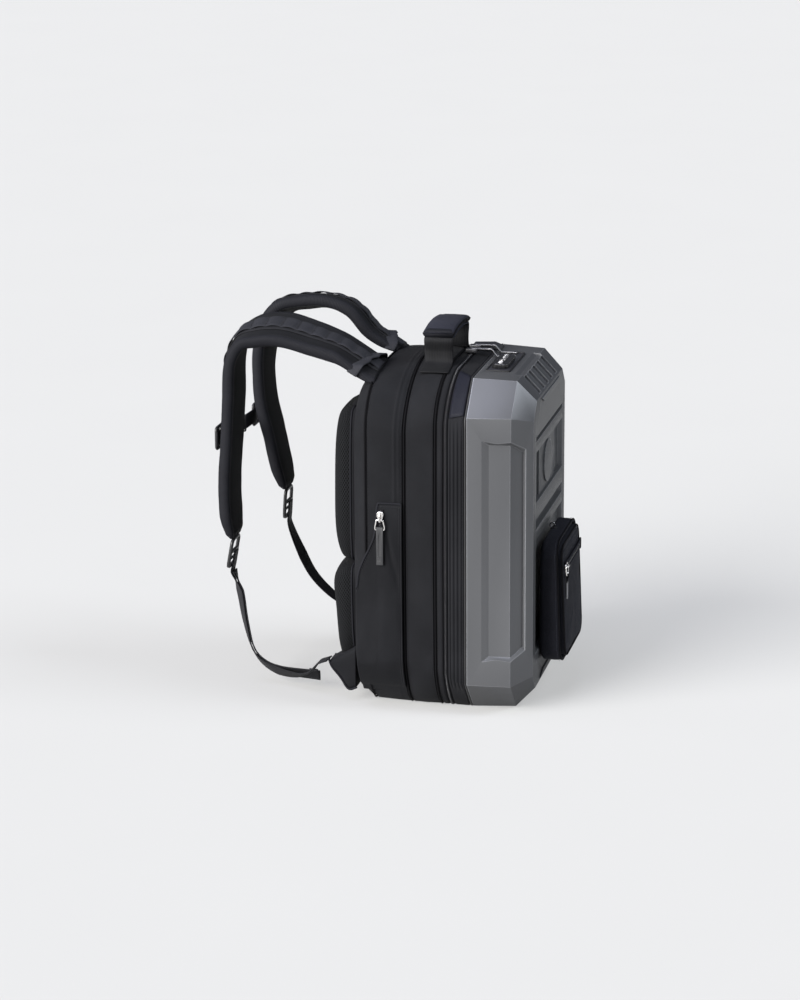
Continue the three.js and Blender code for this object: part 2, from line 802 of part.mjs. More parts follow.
// Looped webbing sewn along the outer face of a strap
function daisyBand(name) {
  const rows = strapPath(name, daisyWidth, daisyThick);
  const lift = strapThick / 2 + daisyThick / 2 + clearance;
  return band(rows, strapSteps, flatSection, { lift }).subtract(bodyForm(clearance + gussetPuff));
}

// Place on the frame buckle at the end of a strap, a share of its length down and off it towards the bag
function lockPoint(name, share, off) {
  const rows = strapRows[name];
  const x = sideOf[name] * strapSpacing / 2;
  const last = vector(...Object.values(reachPoint(rows[rows.length - 1], x)));
  const before = vector(...Object.values(reachPoint(rows[rows.length - 2], x)));
  const down = last.clone().sub(before).normalize();
  const out = new THREE.Vector3().crossVectors(vector(1, 0, 0), down);
  const tilt = down.clone().addScaledVector(out, lockTilt).normalize();
  const head = last.addScaledVector(down, lockBarThick / 2 + clearance);
  return head.addScaledVector(tilt, share * lockFrameLength).addScaledVector(out, -off);
}

// Frame buckle: two side rails and three cross bars
function ladderLock(name) {
  const across = vector(lockFrameWidth / 2, 0, 0);
  const corner = (share, side) => lockPoint(name, share, 0).addScaledVector(across, side);
  const barRadius = lockBarThick / 2;
  const crossBars = [0, 0.5, 1].map((share) => rod(corner(share, -1), corner(share, 1), barRadius, 8));
  const rails = [-1, 1].map((side) => rod(corner(0, side), corner(1, side), barRadius, 8));
  return joined([...crossBars, ...rails]);
}

const webbingSize = { width: lowerWebbingWidth, thick: webbingThick };
const threadShares = [0.5, 1, 1.25];

function webbingRow(name, row) {
  const strapX = strapSpacing / 2;
  const wingX = wingInset + wingWidth / 2;
  const x = sideOf[name] * (strapX + (wingX - strapX) * row.out);
  return { ...reachPoint(row, x), roll: row.roll, ...webbingSize };
}

function webbingPath(name) {
  const off = (lockBarThick + webbingThick) / 2 + 2 * clearance;
  const threaded = threadShares.map((share) => {
    const { x, y, z } = lockPoint(name, share, off);
    return { x, y, z, roll: 0, ...webbingSize };
  });
  return [...threaded, ...webbingRows[name].map((row) => webbingRow(name, row))];
}

function lowerWebbing(name) {
  return band(webbingPath(name), webbingSteps, flatSection);
}

// Loose end of the left webbing: it lies on the webbing as far as the bend and then ends by itself
const tailTip = { reach: 0.415, height: 0.03, out: 0, roll: -60 };
const tailFollows = 6;

function webbingTail() {
  const start = threadShares.length - 1;
  const rows = [...webbingPath('left').slice(start, start + tailFollows), webbingRow('left', tailTip)];
  return band(rows, webbingSteps, flatSection, { lift: -(webbingThick + 3 * clearance) });
}

// Outer face of a strap at one height, with the room that a level band needs on its slope
function strapFace(name, z, bandWidth) {
  const points = strapRows[name].map((row) => reachPoint(row, 0));
  let i = points.length - 1;
  while (i > 1 && z > points[i - 1].z) i -= 1;
  const slope = (points[i - 1].y - points[i].y) / (points[i - 1].z - points[i].z);
  const middle = points[i].y + (z - points[i].z) * slope;
  return middle + (strapThick / 2 + daisyThick + clearance) * Math.hypot(1, slope) + Math.abs(slope) * bandWidth / 2;
}

const sternumFace = (name) => strapFace(name, sternumHeight, sternumWidth) + 3 * clearance + webbingThick / 2;
const buckleY = Math.max(sternumFace('left'), sternumFace('right'));

// Chest strap half, from the outer face of its strap to the buckle in the middle
function sternumWebbing(name) {
  const far = strapSpacing / 2 + daisyWidth / 2;
  const near = strapSpacing / 2 - daisyWidth / 2;
  const end = buckleLength / 2 + clearance;
  const row = (x, y, z) => ({ x: sideOf[name] * x, y, z, width: sternumWidth, thick: webbingThick });
  const seat = sternumFace(name);
  return band([
    row(far, seat, sternumHeight),
    row((far + near) / 2, seat, sternumHeight),
    row(near, seat, sternumHeight),
    row((near + end) / 2, (seat + buckleY) / 2, sternumHeight + sternumSag / 2),
    row(end + webbingThick * 3, buckleY, sternumHeight + sternumSag),
    row(end, buckleY, sternumHeight + sternumSag),
  ], 14, flatSection, { across: vector(0, 0, 1) });
}

// Half of the side release buckle
function buckleHalf(side, length, gap) {
  const z = sternumHeight + sternumSag;
  const inner = gap;
  const outer = gap + length;
  const ring = (x, tall, thick) => [[-1, -1], [1, -1], [1, 1], [-1, 1]]
    .map(([v, w]) => vector(side * x, buckleY + v * thick / 2, z + w * tall / 2));
  return toSolid(skin([
    ring(inner, buckleWidth, buckleThick),
    ring((inner + outer) / 2, buckleWidth, buckleThick),
    ring(outer, buckleWidth * 0.85, buckleThick * 0.6),
  ]));
}

// Carry handle: across is a share of half its span, rise of its rise above the bag's top
const handleRows = [
  { across: -1.75, rise: 0 },
  { across: -1.1, rise: 0 },
  { across: -1.02, rise: 0.3 },
  { across: -1.1, rise: 0.72 },
  { across: -1, rise: 0.86 },
  { across: 0, rise: 1 },
  { across: 1, rise: 0.86 },
  { across: 1.1, rise: 0.72 },
  { across: 1.02, rise: 0.3 },
  { across: 1.1, rise: 0 },
  { across: 1.75, rise: 0 },
];
const handleY = frontSeamY + handleSetback;

function handlePath(rows, width, thick) {
  const seat = clearance + webbingThick;
  const level = topHeight(0, handleY) + seat;
  return rows.map((row) => {
    const x = row.across * handleSpan / 2;
    const z = row.rise === 0 ? topHeight(x, handleY) + seat : level + row.rise * handleRise;
    return { x, y: handleY, z, width, thick };
  });
}

const upright = { across: vector(0, 1, 0) };

function handleWebbing() {
  const whole = band(handlePath(handleRows, handleWidth, webbingThick), 34, flatSection, upright);
  return whole.subtract(bodyForm(clearance));
}

function handlePad() {
  const rows = [-1, -0.5, 0, 0.5, 1].map((across) => ({ across: across * 1.08, rise: 1 - 0.14 * across * across }));
  const lift = -(webbingThick / 2 + handlePadThick / 2 + 4 * clearance);
  return band(handlePath(rows, handleWidth + handlePadExtra, handlePadThick), 12, paddedSection, { ...upright, lift });
}

// Combination lock
function lockPlate() {
  return boxSolid(
    vector(-lockPlateLength / 2, plateFrontY, plateTop - lockPlateThick),
    vector(lockPlateLength / 2, plateRearY, plateTop),
  );
}

const caseFoot = plateTop + clearance;
const caseTop = caseFoot + lockCaseHeight;
const caseMiddleX = lockCaseOffset;
const dialZ = caseTop - dialRadius + dialProud;
const dialX = (i) => caseMiddleX + lockCaseLength / 2 - dialPitch * (i + 1);
const buttonX = caseMiddleX - lockCaseLength / 2 + buttonInset;

function lockCase() {
  const half = lockCaseLength / 2;
  const ring = (z, inset) => {
    const w = half - inset;
    const d = lockCaseWidth / 2 - inset;
    const c = lockCaseCorner;
    return [[w, d - c], [w - c, d], [c - w, d], [-w, d - c], [-w, c - d], [c - w, -d], [w - c, -d], [w, c - d]]
      .map(([x, y]) => vector(caseMiddleX + x, plateMiddleY + y, z));
  };
  let body = toSolid(skin([ring(caseFoot, 0), ring(caseTop - lockCaseBevel, 0), ring(caseTop, lockCaseBevel)]));
  for (let i = 0; i < dialCount; i += 1) {
    const middle = (side) => vector(dialX(i) + side * (dialWidth / 2 + dialGap), plateMiddleY, dialZ);
    body = body.subtract(rod(middle(-1), middle(1), dialRadius + dialGap, 16));
  }
  const shaftEnd = (side) => vector(
    (dialX(0) + dialX(dialCount - 1)) / 2 + side * dialPitch * dialCount / 2, plateMiddleY, dialZ,
  );
  body = body.add(rod(shaftEnd(-1), shaftEnd(1), dialShaft, 12));
  return body.subtract(boxSolid(
    vector(buttonX - clearance, plateMiddleY - buttonWidth / 2 - clearance, caseTop - buttonHeight - clearance),
    vector(buttonX + buttonLength + buttonTravel + clearance, plateMiddleY + buttonWidth / 2 + clearance, caseTop + 1),
  ));
}

function dial(i) {
  const end = (side) => vector(dialX(i) + side * dialWidth / 2, plateMiddleY, dialZ);
  const past = (side) => vector(dialX(i) + side * dialWidth, plateMiddleY, dialZ);
  return rod(end(-1), end(1), dialRadius, 20).subtract(rod(past(-1), past(1), dialShaft + dialGap, 12));
}

function releaseButton() {
  const low = vector(buttonX, plateMiddleY - buttonWidth / 2, caseTop - buttonHeight);
  const high = vector(buttonX + buttonLength, plateMiddleY + buttonWidth / 2, caseTop + buttonHeight / 4);
  const nib = boxSolid(
    vector(buttonX + buttonLength * 0.4, low.y, high.z - 0.1),
    vector(buttonX + buttonLength * 0.6, high.y, high.z + buttonHeight / 3),
  );
  return boxSolid(low, high).add(nib);
}

// Metal pull from the main zip to its dock beside the lock
function zipPull(x) {
  const high = topHeight(x, rimY + mainZipSetback) + pullThick / 2 + 3 * clearance;
  const low = plateTop + pullThick / 2 + clearance;
  const raised = Math.max(high, low) + pullDrop;
  const upper = [
    [rimY + mainZipSetback, raised],
    [rimY, raised],
    [rimY - lockPlateStart, low],
    [rimY + mainZipSetback - pullLength, low],
  ];
  const half = pullThick / 2;
  const outline = [...upper.map(([y, z]) => [y, z + half]), ...upper.map(([y, z]) => [y, z - half]).reverse()];
  const arm = acrossX(outline, x - pullWidth / 2, x + pullWidth / 2);
  const slider = boxSolid(
    vector(x - sliderWidth / 2, rimY + mainZipSetback - sliderLength / 2, high - pullThick / 2),
    vector(x + sliderWidth / 2, rimY + mainZipSetback + sliderLength / 2, raised),
  );
  return arm.add(slider).subtract(bodyForm(clearance));
}

function pullRest() {
  const rearY = rimY + restRear;
  const frontY = rearY - restLength;
  const top = topHeight(restOffset, rearY) + restHeight;
  const block = acrossX([
    [rearY, top - restHeight * 2], [frontY, top - restHeight * 2], [frontY, top - restHeight * 0.8],
    [frontY + restLength * 0.3, top], [rearY, top - restHeight * 0.2],
  ], restOffset - restWidth / 2, restOffset + restWidth / 2);
  return block.subtract(bodyForm(clearance)).subtract(shellForm(-clearance, 1));
}

// Bottle pockets: a row for each height; full is a share of pocketProud
const pocketRows = [
  { height: 0, full: 0.1 },
  { height: 0.12, full: 0.75 },
  { height: 0.4, full: 1 },
  { height: 0.85, full: 1 },
  { height: 1, full: 0.05 },
];
// Mouth of a pocket: y is a share of the way across it, height of its height
const mouthRows = [
  { across: 0.53, height: 1.02 }, { across: 0.57, height: 0.85 }, { across: 0.67, height: 0.785 },
  { across: 0.83, height: 0.71 }, { across: 0.94, height: 0.64 }, { across: 0.98, height: 0.566 },
];
const pocketSteps = 6;
const pocketFront = middleSeamY + pocketSetback;
const pocketRear = rearSeamY + pocketWrap;
const pocketHeight = pocketTop - pocketFoot;

function pocketFull(height) {
  const i = Math.max(1, pocketRows.findIndex((row) => row.height >= height));
  const share = (height - pocketRows[i - 1].height) / (pocketRows[i].height - pocketRows[i - 1].height);
  return pocketRows[i - 1].full + (pocketRows[i].full - pocketRows[i - 1].full) * share;
}

// Outer face of a pocket, from the bag's middle plane
function pocketReach(y, height) {
  const share = (y - pocketFront) / (pocketRear - pocketFront);
  const swell = pocketProud * pocketFull(height) * Math.sin(Math.PI * Math.min(0.5, share + 0.08));
  return sideReach(Math.min(y, rearSeamY), pocketFoot + pocketHeight * height) + clearance + pocketCloth + swell;
}

function pocketForm(side, wall) {
  const inner = side * halfWidth * 0.7;
  return toSolid(skin(pocketRows.map(({ height }) => {
    const z = pocketFoot + pocketHeight * height + (height === 0 ? wall : 0) - (height === 1 ? wall : 0);
    const front = pocketFront + wall;
    const rear = pocketRear - wall;
    const points = Array.from({ length: pocketSteps + 1 }, (_, i) => {
      const y = front + (rear - front) * i / pocketSteps;
      return vector(side * (pocketReach(y, height) - wall), y, z);
    });
    return [...points, vector(inner, rear, z), vector(inner, front, z)];
  })));
}

function bottlePocket(side) {
  const across = pocketRear - pocketFront;
  const edge = mouthRows.map((row) => [pocketFront + across * row.across, pocketFoot + pocketHeight * row.height]);
  const past = pocketRear + across;
  const outline = [...edge, [past, edge[edge.length - 1][1]], [past, edge[0][1]]];
  const mouth = acrossX(outline, side * halfWidth / 2, side * bagWidth);
  return pocketForm(side, 0).subtract(pocketForm(side, pocketCloth)).subtract(mouth).subtract(bodyForm(clearance));
}

// Side zip pull: a slider on the left pocket, a wire link and a long tab that hangs on it
const sideZipY = middleSeamY + sideZipSetback;
const fullHeight = pocketRows[pocketRows.length - 2].height;
const sideHingeX = -pocketReach(sideZipY, fullHeight) - 2 * clearance - tabThick / 2;
const sideHingeZ = sideZipTop - sliderLength * 0.75;

function sideZipSlider() {
  const outer = sideHingeX - linkWire;
  const foot = sideZipTop - sliderLength;
  const block = boxSolid(
    vector(outer + linkWire, sideZipY - sliderWidth / 2, foot),
    vector(outer + 3 * sliderThick, sideZipY + sliderWidth / 2, sideZipTop),
  );
  const bridge = boxSolid(
    vector(outer, sideZipY - sliderWidth / 4, foot + linkWire / 2),
    vector(outer + 3 * sliderThick, sideZipY + sliderWidth / 4, sideZipTop - linkWire / 2),
  );
  const tunnel = rod(
    vector(sideHingeX, sideZipY - sliderWidth, sideHingeZ),
    vector(sideHingeX, sideZipY + sliderWidth, sideHingeZ),
    linkWire / 2 + clearance,
    10,
  );
  return block.add(bridge).subtract(tunnel).subtract(pocketForm(-1, -clearance));
}

// Wire link, from its pin in the slider down to the tab; axis is the direction of the pin
function pullLink(pin, axis, down, width, length) {
  const half = axis.clone().multiplyScalar(width / 2);
  const foot = pin.clone().addScaledVector(down, length);
  const corners = [pin.clone().sub(half), pin.clone().add(half), foot.clone().add(half), foot.clone().sub(half)];
  return joined(corners.map((corner, i) => {
    const next = corners[(i + 1) % corners.length];
    const past = next.clone().sub(corner).normalize().multiplyScalar(linkWire / 2);
    return rod(corner.clone().sub(past), next.clone().add(past), linkWire / 2, 6);
  }));
}

function sideZipLink() {
  return pullLink(
    vector(sideHingeX, sideZipY, sideHingeZ), vector(0, 1, 0), vector(0, 0, -1), linkWidth - linkWire, linkLength,
  );
}

// Moulded tab round the foot of the link
function sideZipTab() {
  const top = sideHingeZ - linkLength + linkWire / 2 + clearance + linkWire;
  const foot = top - tabLength;
  const slot = tabWidth * 0.12;
  const tab = boxSolid(
    vector(sideHingeX - tabThick / 2 - linkWire / 2, sideZipY - tabWidth / 2, foot),
    vector(sideHingeX + tabThick / 2, sideZipY + tabWidth / 2, top),
  );
  const groove = boxSolid(
    vector(sideHingeX - tabThick - linkWire, sideZipY - slot, foot + tabLength * 0.12),
    vector(sideHingeX - tabThick / 2 - linkWire / 4, sideZipY + slot, foot + tabLength * 0.8),
  );
  const eye = rod(
    vector(sideHingeX, sideZipY - tabWidth, sideHingeZ - linkLength),
    vector(sideHingeX, sideZipY + tabWidth, sideHingeZ - linkLength),
    linkWire / 2 + clearance,
    10,
  );
  return tab.subtract(groove).subtract(eye);
}

// Front pouch: out is a share of its depth, inset of its corner radius
const pouchRows = [
  { out: 0, inset: 0.2 },
  { out: 0.15, inset: 0 },
  { out: 0.85, inset: 0 },
  { out: 1, inset: 0.12 },
  { out: 1.2, inset: 0.65 },
  { out: 1.28, inset: 1.3 },
];
const pouchBackY = faceY - clearance;
const pouchMiddleZ = pouchFoot + pouchHeight / 2;

function pouchRing(row, wall) {
  const inset = row.inset * pouchCorner + wall;
  const wide = pouchWidth / 2 - inset;
  const tall = pouchHeight / 2 - inset;
  const corner = Math.max(pouchCorner - inset, pouchCorner * 0.4);
  const points = [];
  for (let quarter = 0; quarter < 4; quarter += 1) {
    const sx = quarter === 0 || quarter === 3 ? 1 : -1;
    const sz = quarter < 2 ? 1 : -1;
    for (let i = 0; i <= 3; i += 1) {
      const angle = (quarter + i / 3) * Math.PI / 2;
      const x = sx * (wide - corner) + corner * Math.cos(angle);
      const z = sz * (tall - corner) + corner * Math.sin(angle);
      const share = (z + pouchHeight / 2) / pouchHeight;
      const depth = pouchDepth + pouchFootExtra * (1 - share);
      const y = row.out === 0 ? pouchBackY - wall : pouchBackY - row.out * depth + (row.out > 0.5 ? wall : -wall);
      points.push(vector(x, y, pouchMiddleZ + z));
    }
  }
  return points;
}

const pouchZipZ = pouchFoot + pouchHeight * 0.79;
const pouchFrontY = pouchBackY - 1.28 * (pouchDepth + pouchFootExtra * 0.21);

// Band of the pouch where its zip runs
function pouchZipRoom(grow) {
  const half = pouchWidth / 2 - pouchCorner * 0.55 + grow;
  return boxSolid(
    vector(-half, pouchFrontY - pouchDepth, pouchZipZ - pouchZipWidth / 2 - grow),
    vector(half, pouchFrontY + pouchDepth * 0.6, pouchZipZ + pouchZipWidth / 2 + grow),
  );
}

function pouchShell(grow) {
  const outer = toSolid(skin(pouchRows.map((row) => pouchRing(row, -grow))));
  return outer.subtract(toSolid(skin(pouchRows.map((row) => pouchRing(row, pouchWall)))));
}

function pouchBody() {
  return pouchShell(0).subtract(pouchZipRoom(clearance));
}

function pouchZip() {
  return pouchShell(0).intersect(pouchZipRoom(0));
}

const pouchPullX = -pouchWidth / 2 + pouchCorner * 0.75;
const pouchPullY = pouchFrontY - clearance;

function pouchSlider() {
  const rearY = pouchPullY + pouchDepth * 0.4;
  const block = boxSolid(
    vector(pouchPullX - sliderLength / 2, pouchPullY - sliderThick, pouchZipZ - sliderWidth / 2),
    vector(pouchPullX + sliderLength / 2, rearY, pouchZipZ + sliderWidth / 2),
  ).subtract(toSolid(skin(pouchRows.map((row) => pouchRing(row, -clearance)))));
  const tunnel = rod(
    vector(pouchPullX - sliderLength, pouchPullY - sliderThick + linkWire * 0.9, pouchZipZ),
    vector(pouchPullX + sliderLength, pouchPullY - sliderThick + linkWire * 0.9, pouchZipZ),
    linkWire / 2 + clearance,
    10,
  );
  return block.subtract(tunnel);
}

function pouchLink() {
  const pin = vector(pouchPullX, pouchPullY - sliderThick + linkWire * 0.9, pouchZipZ);
  const link = pullLink(pin, vector(1, 0, 0), vector(0, 0, -1), sliderLength + linkWire + 2 * clearance, linkLength);
  const cordTop = pouchZipZ - linkLength - linkWire / 4;
  const cord = boxSolid(
    vector(pin.x - pouchTabWidth / 8, pin.y - linkWire / 3, cordTop - pouchTabLength),
    vector(pin.x + pouchTabWidth / 8, pin.y + linkWire / 3, cordTop),
  );
  return link.add(cord);
}

// Small ring that stands on the middle of the pouch's top edge
function pouchClip() {
  const ring = new THREE.TorusGeometry(ringRadius, ringWire, 6, 12);
  ring.rotateY(Math.PI / 2);
  const reach = ringRadius + ringWire;
  ring.translate(0, pouchBackY - reach, pouchFoot + pouchHeight + clearance + reach);
  return toSolid(ring);
}

function place(name, solid, finish) {
  addMesh(name, solid instanceof THREE.BufferGeometry ? solid : toGeometry(solid), ...finish);
}

const zipY = rimY + mainZipSetback;
const pipingRoom = pipingWidth / 2 + clearance;
place('hard_shell', hardShell(), shellFinish);
place('shell_trim', clothRing(rimY, rimY + trimWidth, shellWall, 0), pipingFinish);
place('front_gusset', clothRing(rimY + trimWidth + clearance, zipY - mainZipWidth / 2 - clearance, clothWall, 0), clothFinish);
place('main_zip', clothRing(zipY - mainZipWidth / 2, zipY + mainZipWidth / 2, clothWall, 0), pipingFinish);
place('zip_facing', clothRing(zipY + mainZipWidth / 2 + clearance, frontSeamY - pipingRoom, clothWall, 0), clothFinish);
place('front_piping', piping(frontSeamY), pipingFinish);
place('middle_gusset', clothRing(frontSeamY + pipingRoom, middleSeamY - pipingRoom, clothWall, gussetPuff), clothFinish);
place('middle_piping', piping(middleSeamY), pipingFinish);
place('rear_gusset', clothRing(middleSeamY + pipingRoom, rearSeamY - pipingRoom, clothWall, gussetPuff), clothFinish);
place('rear_piping', piping(rearSeamY), pipingFinish);
place('back_panel', backPanel(), clothFinish);
place('upper_back_pad', backPad(upperPadRows, padSplit + padGap / 2, padTop, upperPadThick), meshFinish);
place(
  'lower_back_pad',
  backPad(lowerPadRows, padFoot, padSplit - padGap / 2, lowerPadThick).subtract(belowWingEdge(0)),
  meshFinish,
);
place('handle_webbing', handleWebbing(), webbingFinish);
place('handle_pad', handlePad(), clothFinish);
place('lock_plate', lockPlate(), darkMetalFinish);
place('lock_case', lockCase(), darkMetalFinish);
for (let i = 0; i < dialCount; i += 1) place(`dial_${i + 1}`, dial(i), brightMetalFinish);
place('release_button', releaseButton(), brightMetalFinish);
place('zip_pull_left', zipPull(pullOffset - pullPitch / 2), darkMetalFinish);
place('zip_pull_right', zipPull(pullOffset + pullPitch / 2), darkMetalFinish);
place('pull_rest', pullRest(), rubberFinish);
place('side_zip_slider', sideZipSlider(), darkMetalFinish);
place('side_zip_link', sideZipLink(), darkMetalFinish);
place('side_zip_tab', sideZipTab(), rubberFinish);
for (const name of ['left', 'right']) {
  const side = sideOf[name];
  place(`bottle_pocket_${name}`, bottlePocket(side), clothFinish);
  place(`anchor_wing_${name}`, anchorWing(side), clothFinish);
  place(`shoulder_strap_${name}`, shoulderStrap(name), meshFinish);
  place(`daisy_band_${name}`, daisyBand(name), webbingFinish);
  place(`ladder_lock_${name}`, ladderLock(name), plasticFinish);
  place(`lower_webbing_${name}`, lowerWebbing(name), webbingFinish);
  place(`sternum_webbing_${name}`, sternumWebbing(name), webbingFinish);
}
place('webbing_tail', webbingTail(), webbingFinish);
place('sternum_socket', buckleHalf(-1, buckleLength / 2, clearance / 2), plasticFinish);
place('sternum_plug', buckleHalf(1, buckleLength / 2, clearance / 2), plasticFinish);
place('pouch_body', pouchBody(), pouchFinish);
place('pouch_zip', pouchZip(), pipingFinish);
place('pouch_slider', pouchSlider(), brightMetalFinish);
place('pouch_link', pouchLink(), brightMetalFinish);
place('pouch_clip', pouchClip(), brightMetalFinish);

export default group;
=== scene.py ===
# Hard shell travel backpack: the look of every piece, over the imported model.
# Lengths are millimetres until a mesh is made. +Z is up and the shell faces -Y.
import math

import bmesh
import bpy
import numpy as np
from mathutils import Matrix, Vector, noise


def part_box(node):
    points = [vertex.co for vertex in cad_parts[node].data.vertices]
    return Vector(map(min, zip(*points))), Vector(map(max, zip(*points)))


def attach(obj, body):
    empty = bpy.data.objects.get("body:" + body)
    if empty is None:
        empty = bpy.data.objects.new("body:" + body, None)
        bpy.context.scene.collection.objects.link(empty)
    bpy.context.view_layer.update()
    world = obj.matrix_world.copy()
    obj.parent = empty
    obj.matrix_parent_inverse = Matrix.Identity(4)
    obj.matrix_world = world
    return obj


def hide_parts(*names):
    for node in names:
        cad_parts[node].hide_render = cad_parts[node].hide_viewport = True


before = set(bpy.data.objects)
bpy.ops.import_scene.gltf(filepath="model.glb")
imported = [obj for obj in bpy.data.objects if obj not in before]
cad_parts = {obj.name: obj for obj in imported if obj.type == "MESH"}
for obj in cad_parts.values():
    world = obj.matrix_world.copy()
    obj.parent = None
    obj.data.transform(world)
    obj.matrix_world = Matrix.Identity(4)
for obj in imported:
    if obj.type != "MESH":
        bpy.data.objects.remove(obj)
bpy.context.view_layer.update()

MM = 0.001


# Camera, in metres, at the photograph's angle
CAMERA_PLACE = (-3.88082, -0.8285, 1.35205)
CAMERA_AZIMUTH = 12.91
CAMERA_ELEVATION = 15.42
CAMERA_ROLL = -0.38
CAMERA_LENS = 108
CAMERA_SENSOR = 36


def add_camera():
    bpy.context.scene.view_settings.view_transform = "Standard"
    turn = math.radians(CAMERA_AZIMUTH)
    lift = math.radians(CAMERA_ELEVATION)
    roll = math.radians(CAMERA_ROLL)
    back = Vector((-math.cos(turn) * math.cos(lift), -math.sin(turn) * math.cos(lift), math.sin(lift)))
    level = Vector((math.sin(turn), -math.cos(turn), 0))
    upright = back.cross(level)
    right = level * math.cos(roll) + upright * math.sin(roll)
    up = upright * math.cos(roll) - level * math.sin(roll)
    data = bpy.data.cameras.new("camera")
    data.lens = CAMERA_LENS
    data.sensor_width = CAMERA_SENSOR
    data.clip_start = 0.1
    data.clip_end = 100
    camera = bpy.data.objects.new("camera", data)
    turned = Matrix((right, up, back)).transposed().to_4x4()
    camera.matrix_world = Matrix.Translation(CAMERA_PLACE) @ turned
    bpy.context.scene.collection.objects.link(camera)
    bpy.context.scene.camera = camera


# Studio: pale floor, one broad low light from the bag's left and a soft room
FLOOR_SIZE = 60
FLOOR_COLOUR = (0.23, 0.23, 0.226)
FLOOR_GLOW = 0.38
ROOM_LIGHT = 0.12
ROOM_COLOUR = (0.82, 0.85, 1.0)
# Lights: strength, colour, direction they come from, spread in degrees
LIGHTS = {
    "side_window": (9.2, (1.0, 0.985, 0.965), (-0.72, 0.58, 0.38), 46),
    "overhead_panel": (1.3, (0.80, 0.82, 1.0), (-0.27, 0.22, 0.94), 40),
    "front_panel": (2.3, (0.9, 0.95, 1.0), (-0.02, -0.72, 0.71), 30),
}


def add_sun(name, strength, colour, direction, spread):
    data = bpy.data.lights.new(name, "SUN")
    data.energy = strength
    data.color = colour
    data.angle = math.radians(spread)
    lamp = bpy.data.objects.new(name, data)
    lamp.rotation_euler = Vector(direction).to_track_quat("Z", "Y").to_euler()
    bpy.context.scene.collection.objects.link(lamp)


def add_studio():
    for name, settings in LIGHTS.items():
        add_sun(name, *settings)
    world = bpy.data.worlds.new("room")
    world.use_nodes = True
    ground = world.node_tree.nodes["Background"]
    ground.inputs["Color"].default_value = (*ROOM_COLOUR, 1)
    ground.inputs["Strength"].default_value = ROOM_LIGHT
    bpy.context.scene.world = world
    mesh = bpy.data.meshes.new("floor")
    half = FLOOR_SIZE / 2
    corners = [(-half, -half, 0), (half, -half, 0), (half, half, 0), (-half, half, 0)]
    mesh.from_pydata(corners, [], [(0, 1, 2, 3)])
    floor = bpy.data.objects.new("floor", mesh)
    bpy.context.scene.collection.objects.link(floor)
    finish = Finish("floor_paper", FLOOR_COLOUR, roughness=0.9, gloss=0.1)
    finish.shader.inputs["Emission Color"].default_value = (1, 1, 1, 1)
    finish.shader.inputs["Emission Strength"].default_value = FLOOR_GLOW
    finish.done(colour=finish.tinted(finish.grain(3, 4), 0.01))
    floor.data.materials.append(finish.material)


class Value:
    """A socket of a material's nodes that can be worked on like a number."""

    def __init__(self, finish, socket):
        self.finish = finish
        self.socket = socket

    def maths(self, operation, *others):
        sockets = {i: other for i, other in enumerate((self, *others))}
        return self.finish.node("ShaderNodeMath", {"operation": operation}, sockets)

    def __add__(self, other):
        return self.maths("ADD", other)

    __radd__ = __add__

    def __mul__(self, other):
        return self.maths("MULTIPLY", other)

    __rmul__ = __mul__

    def __sub__(self, other):
        return self.maths("SUBTRACT", other)

    def __rsub__(self, other):
        return (self * -1) + other

    def sine(self):
        return self.maths("SINE")

    def cosine(self):
        return self.maths("COSINE")

    def size(self):
        return self.maths("ABSOLUTE")

    def at_least(self, other):
        return self.maths("MAXIMUM", other)

    def above(self, other):
        return self.maths("GREATER_THAN", other)

    def part(self):
        return self.maths("FRACT")

    def between(self, low, high):
        """0 below low, 1 above high and a soft step between them."""
        settings = {"interpolation_type": "SMOOTHSTEP"}
        return self.finish.node(
            "ShaderNodeMapRange", settings, {"Value": self, "From Min": low, "From Max": high},
        )


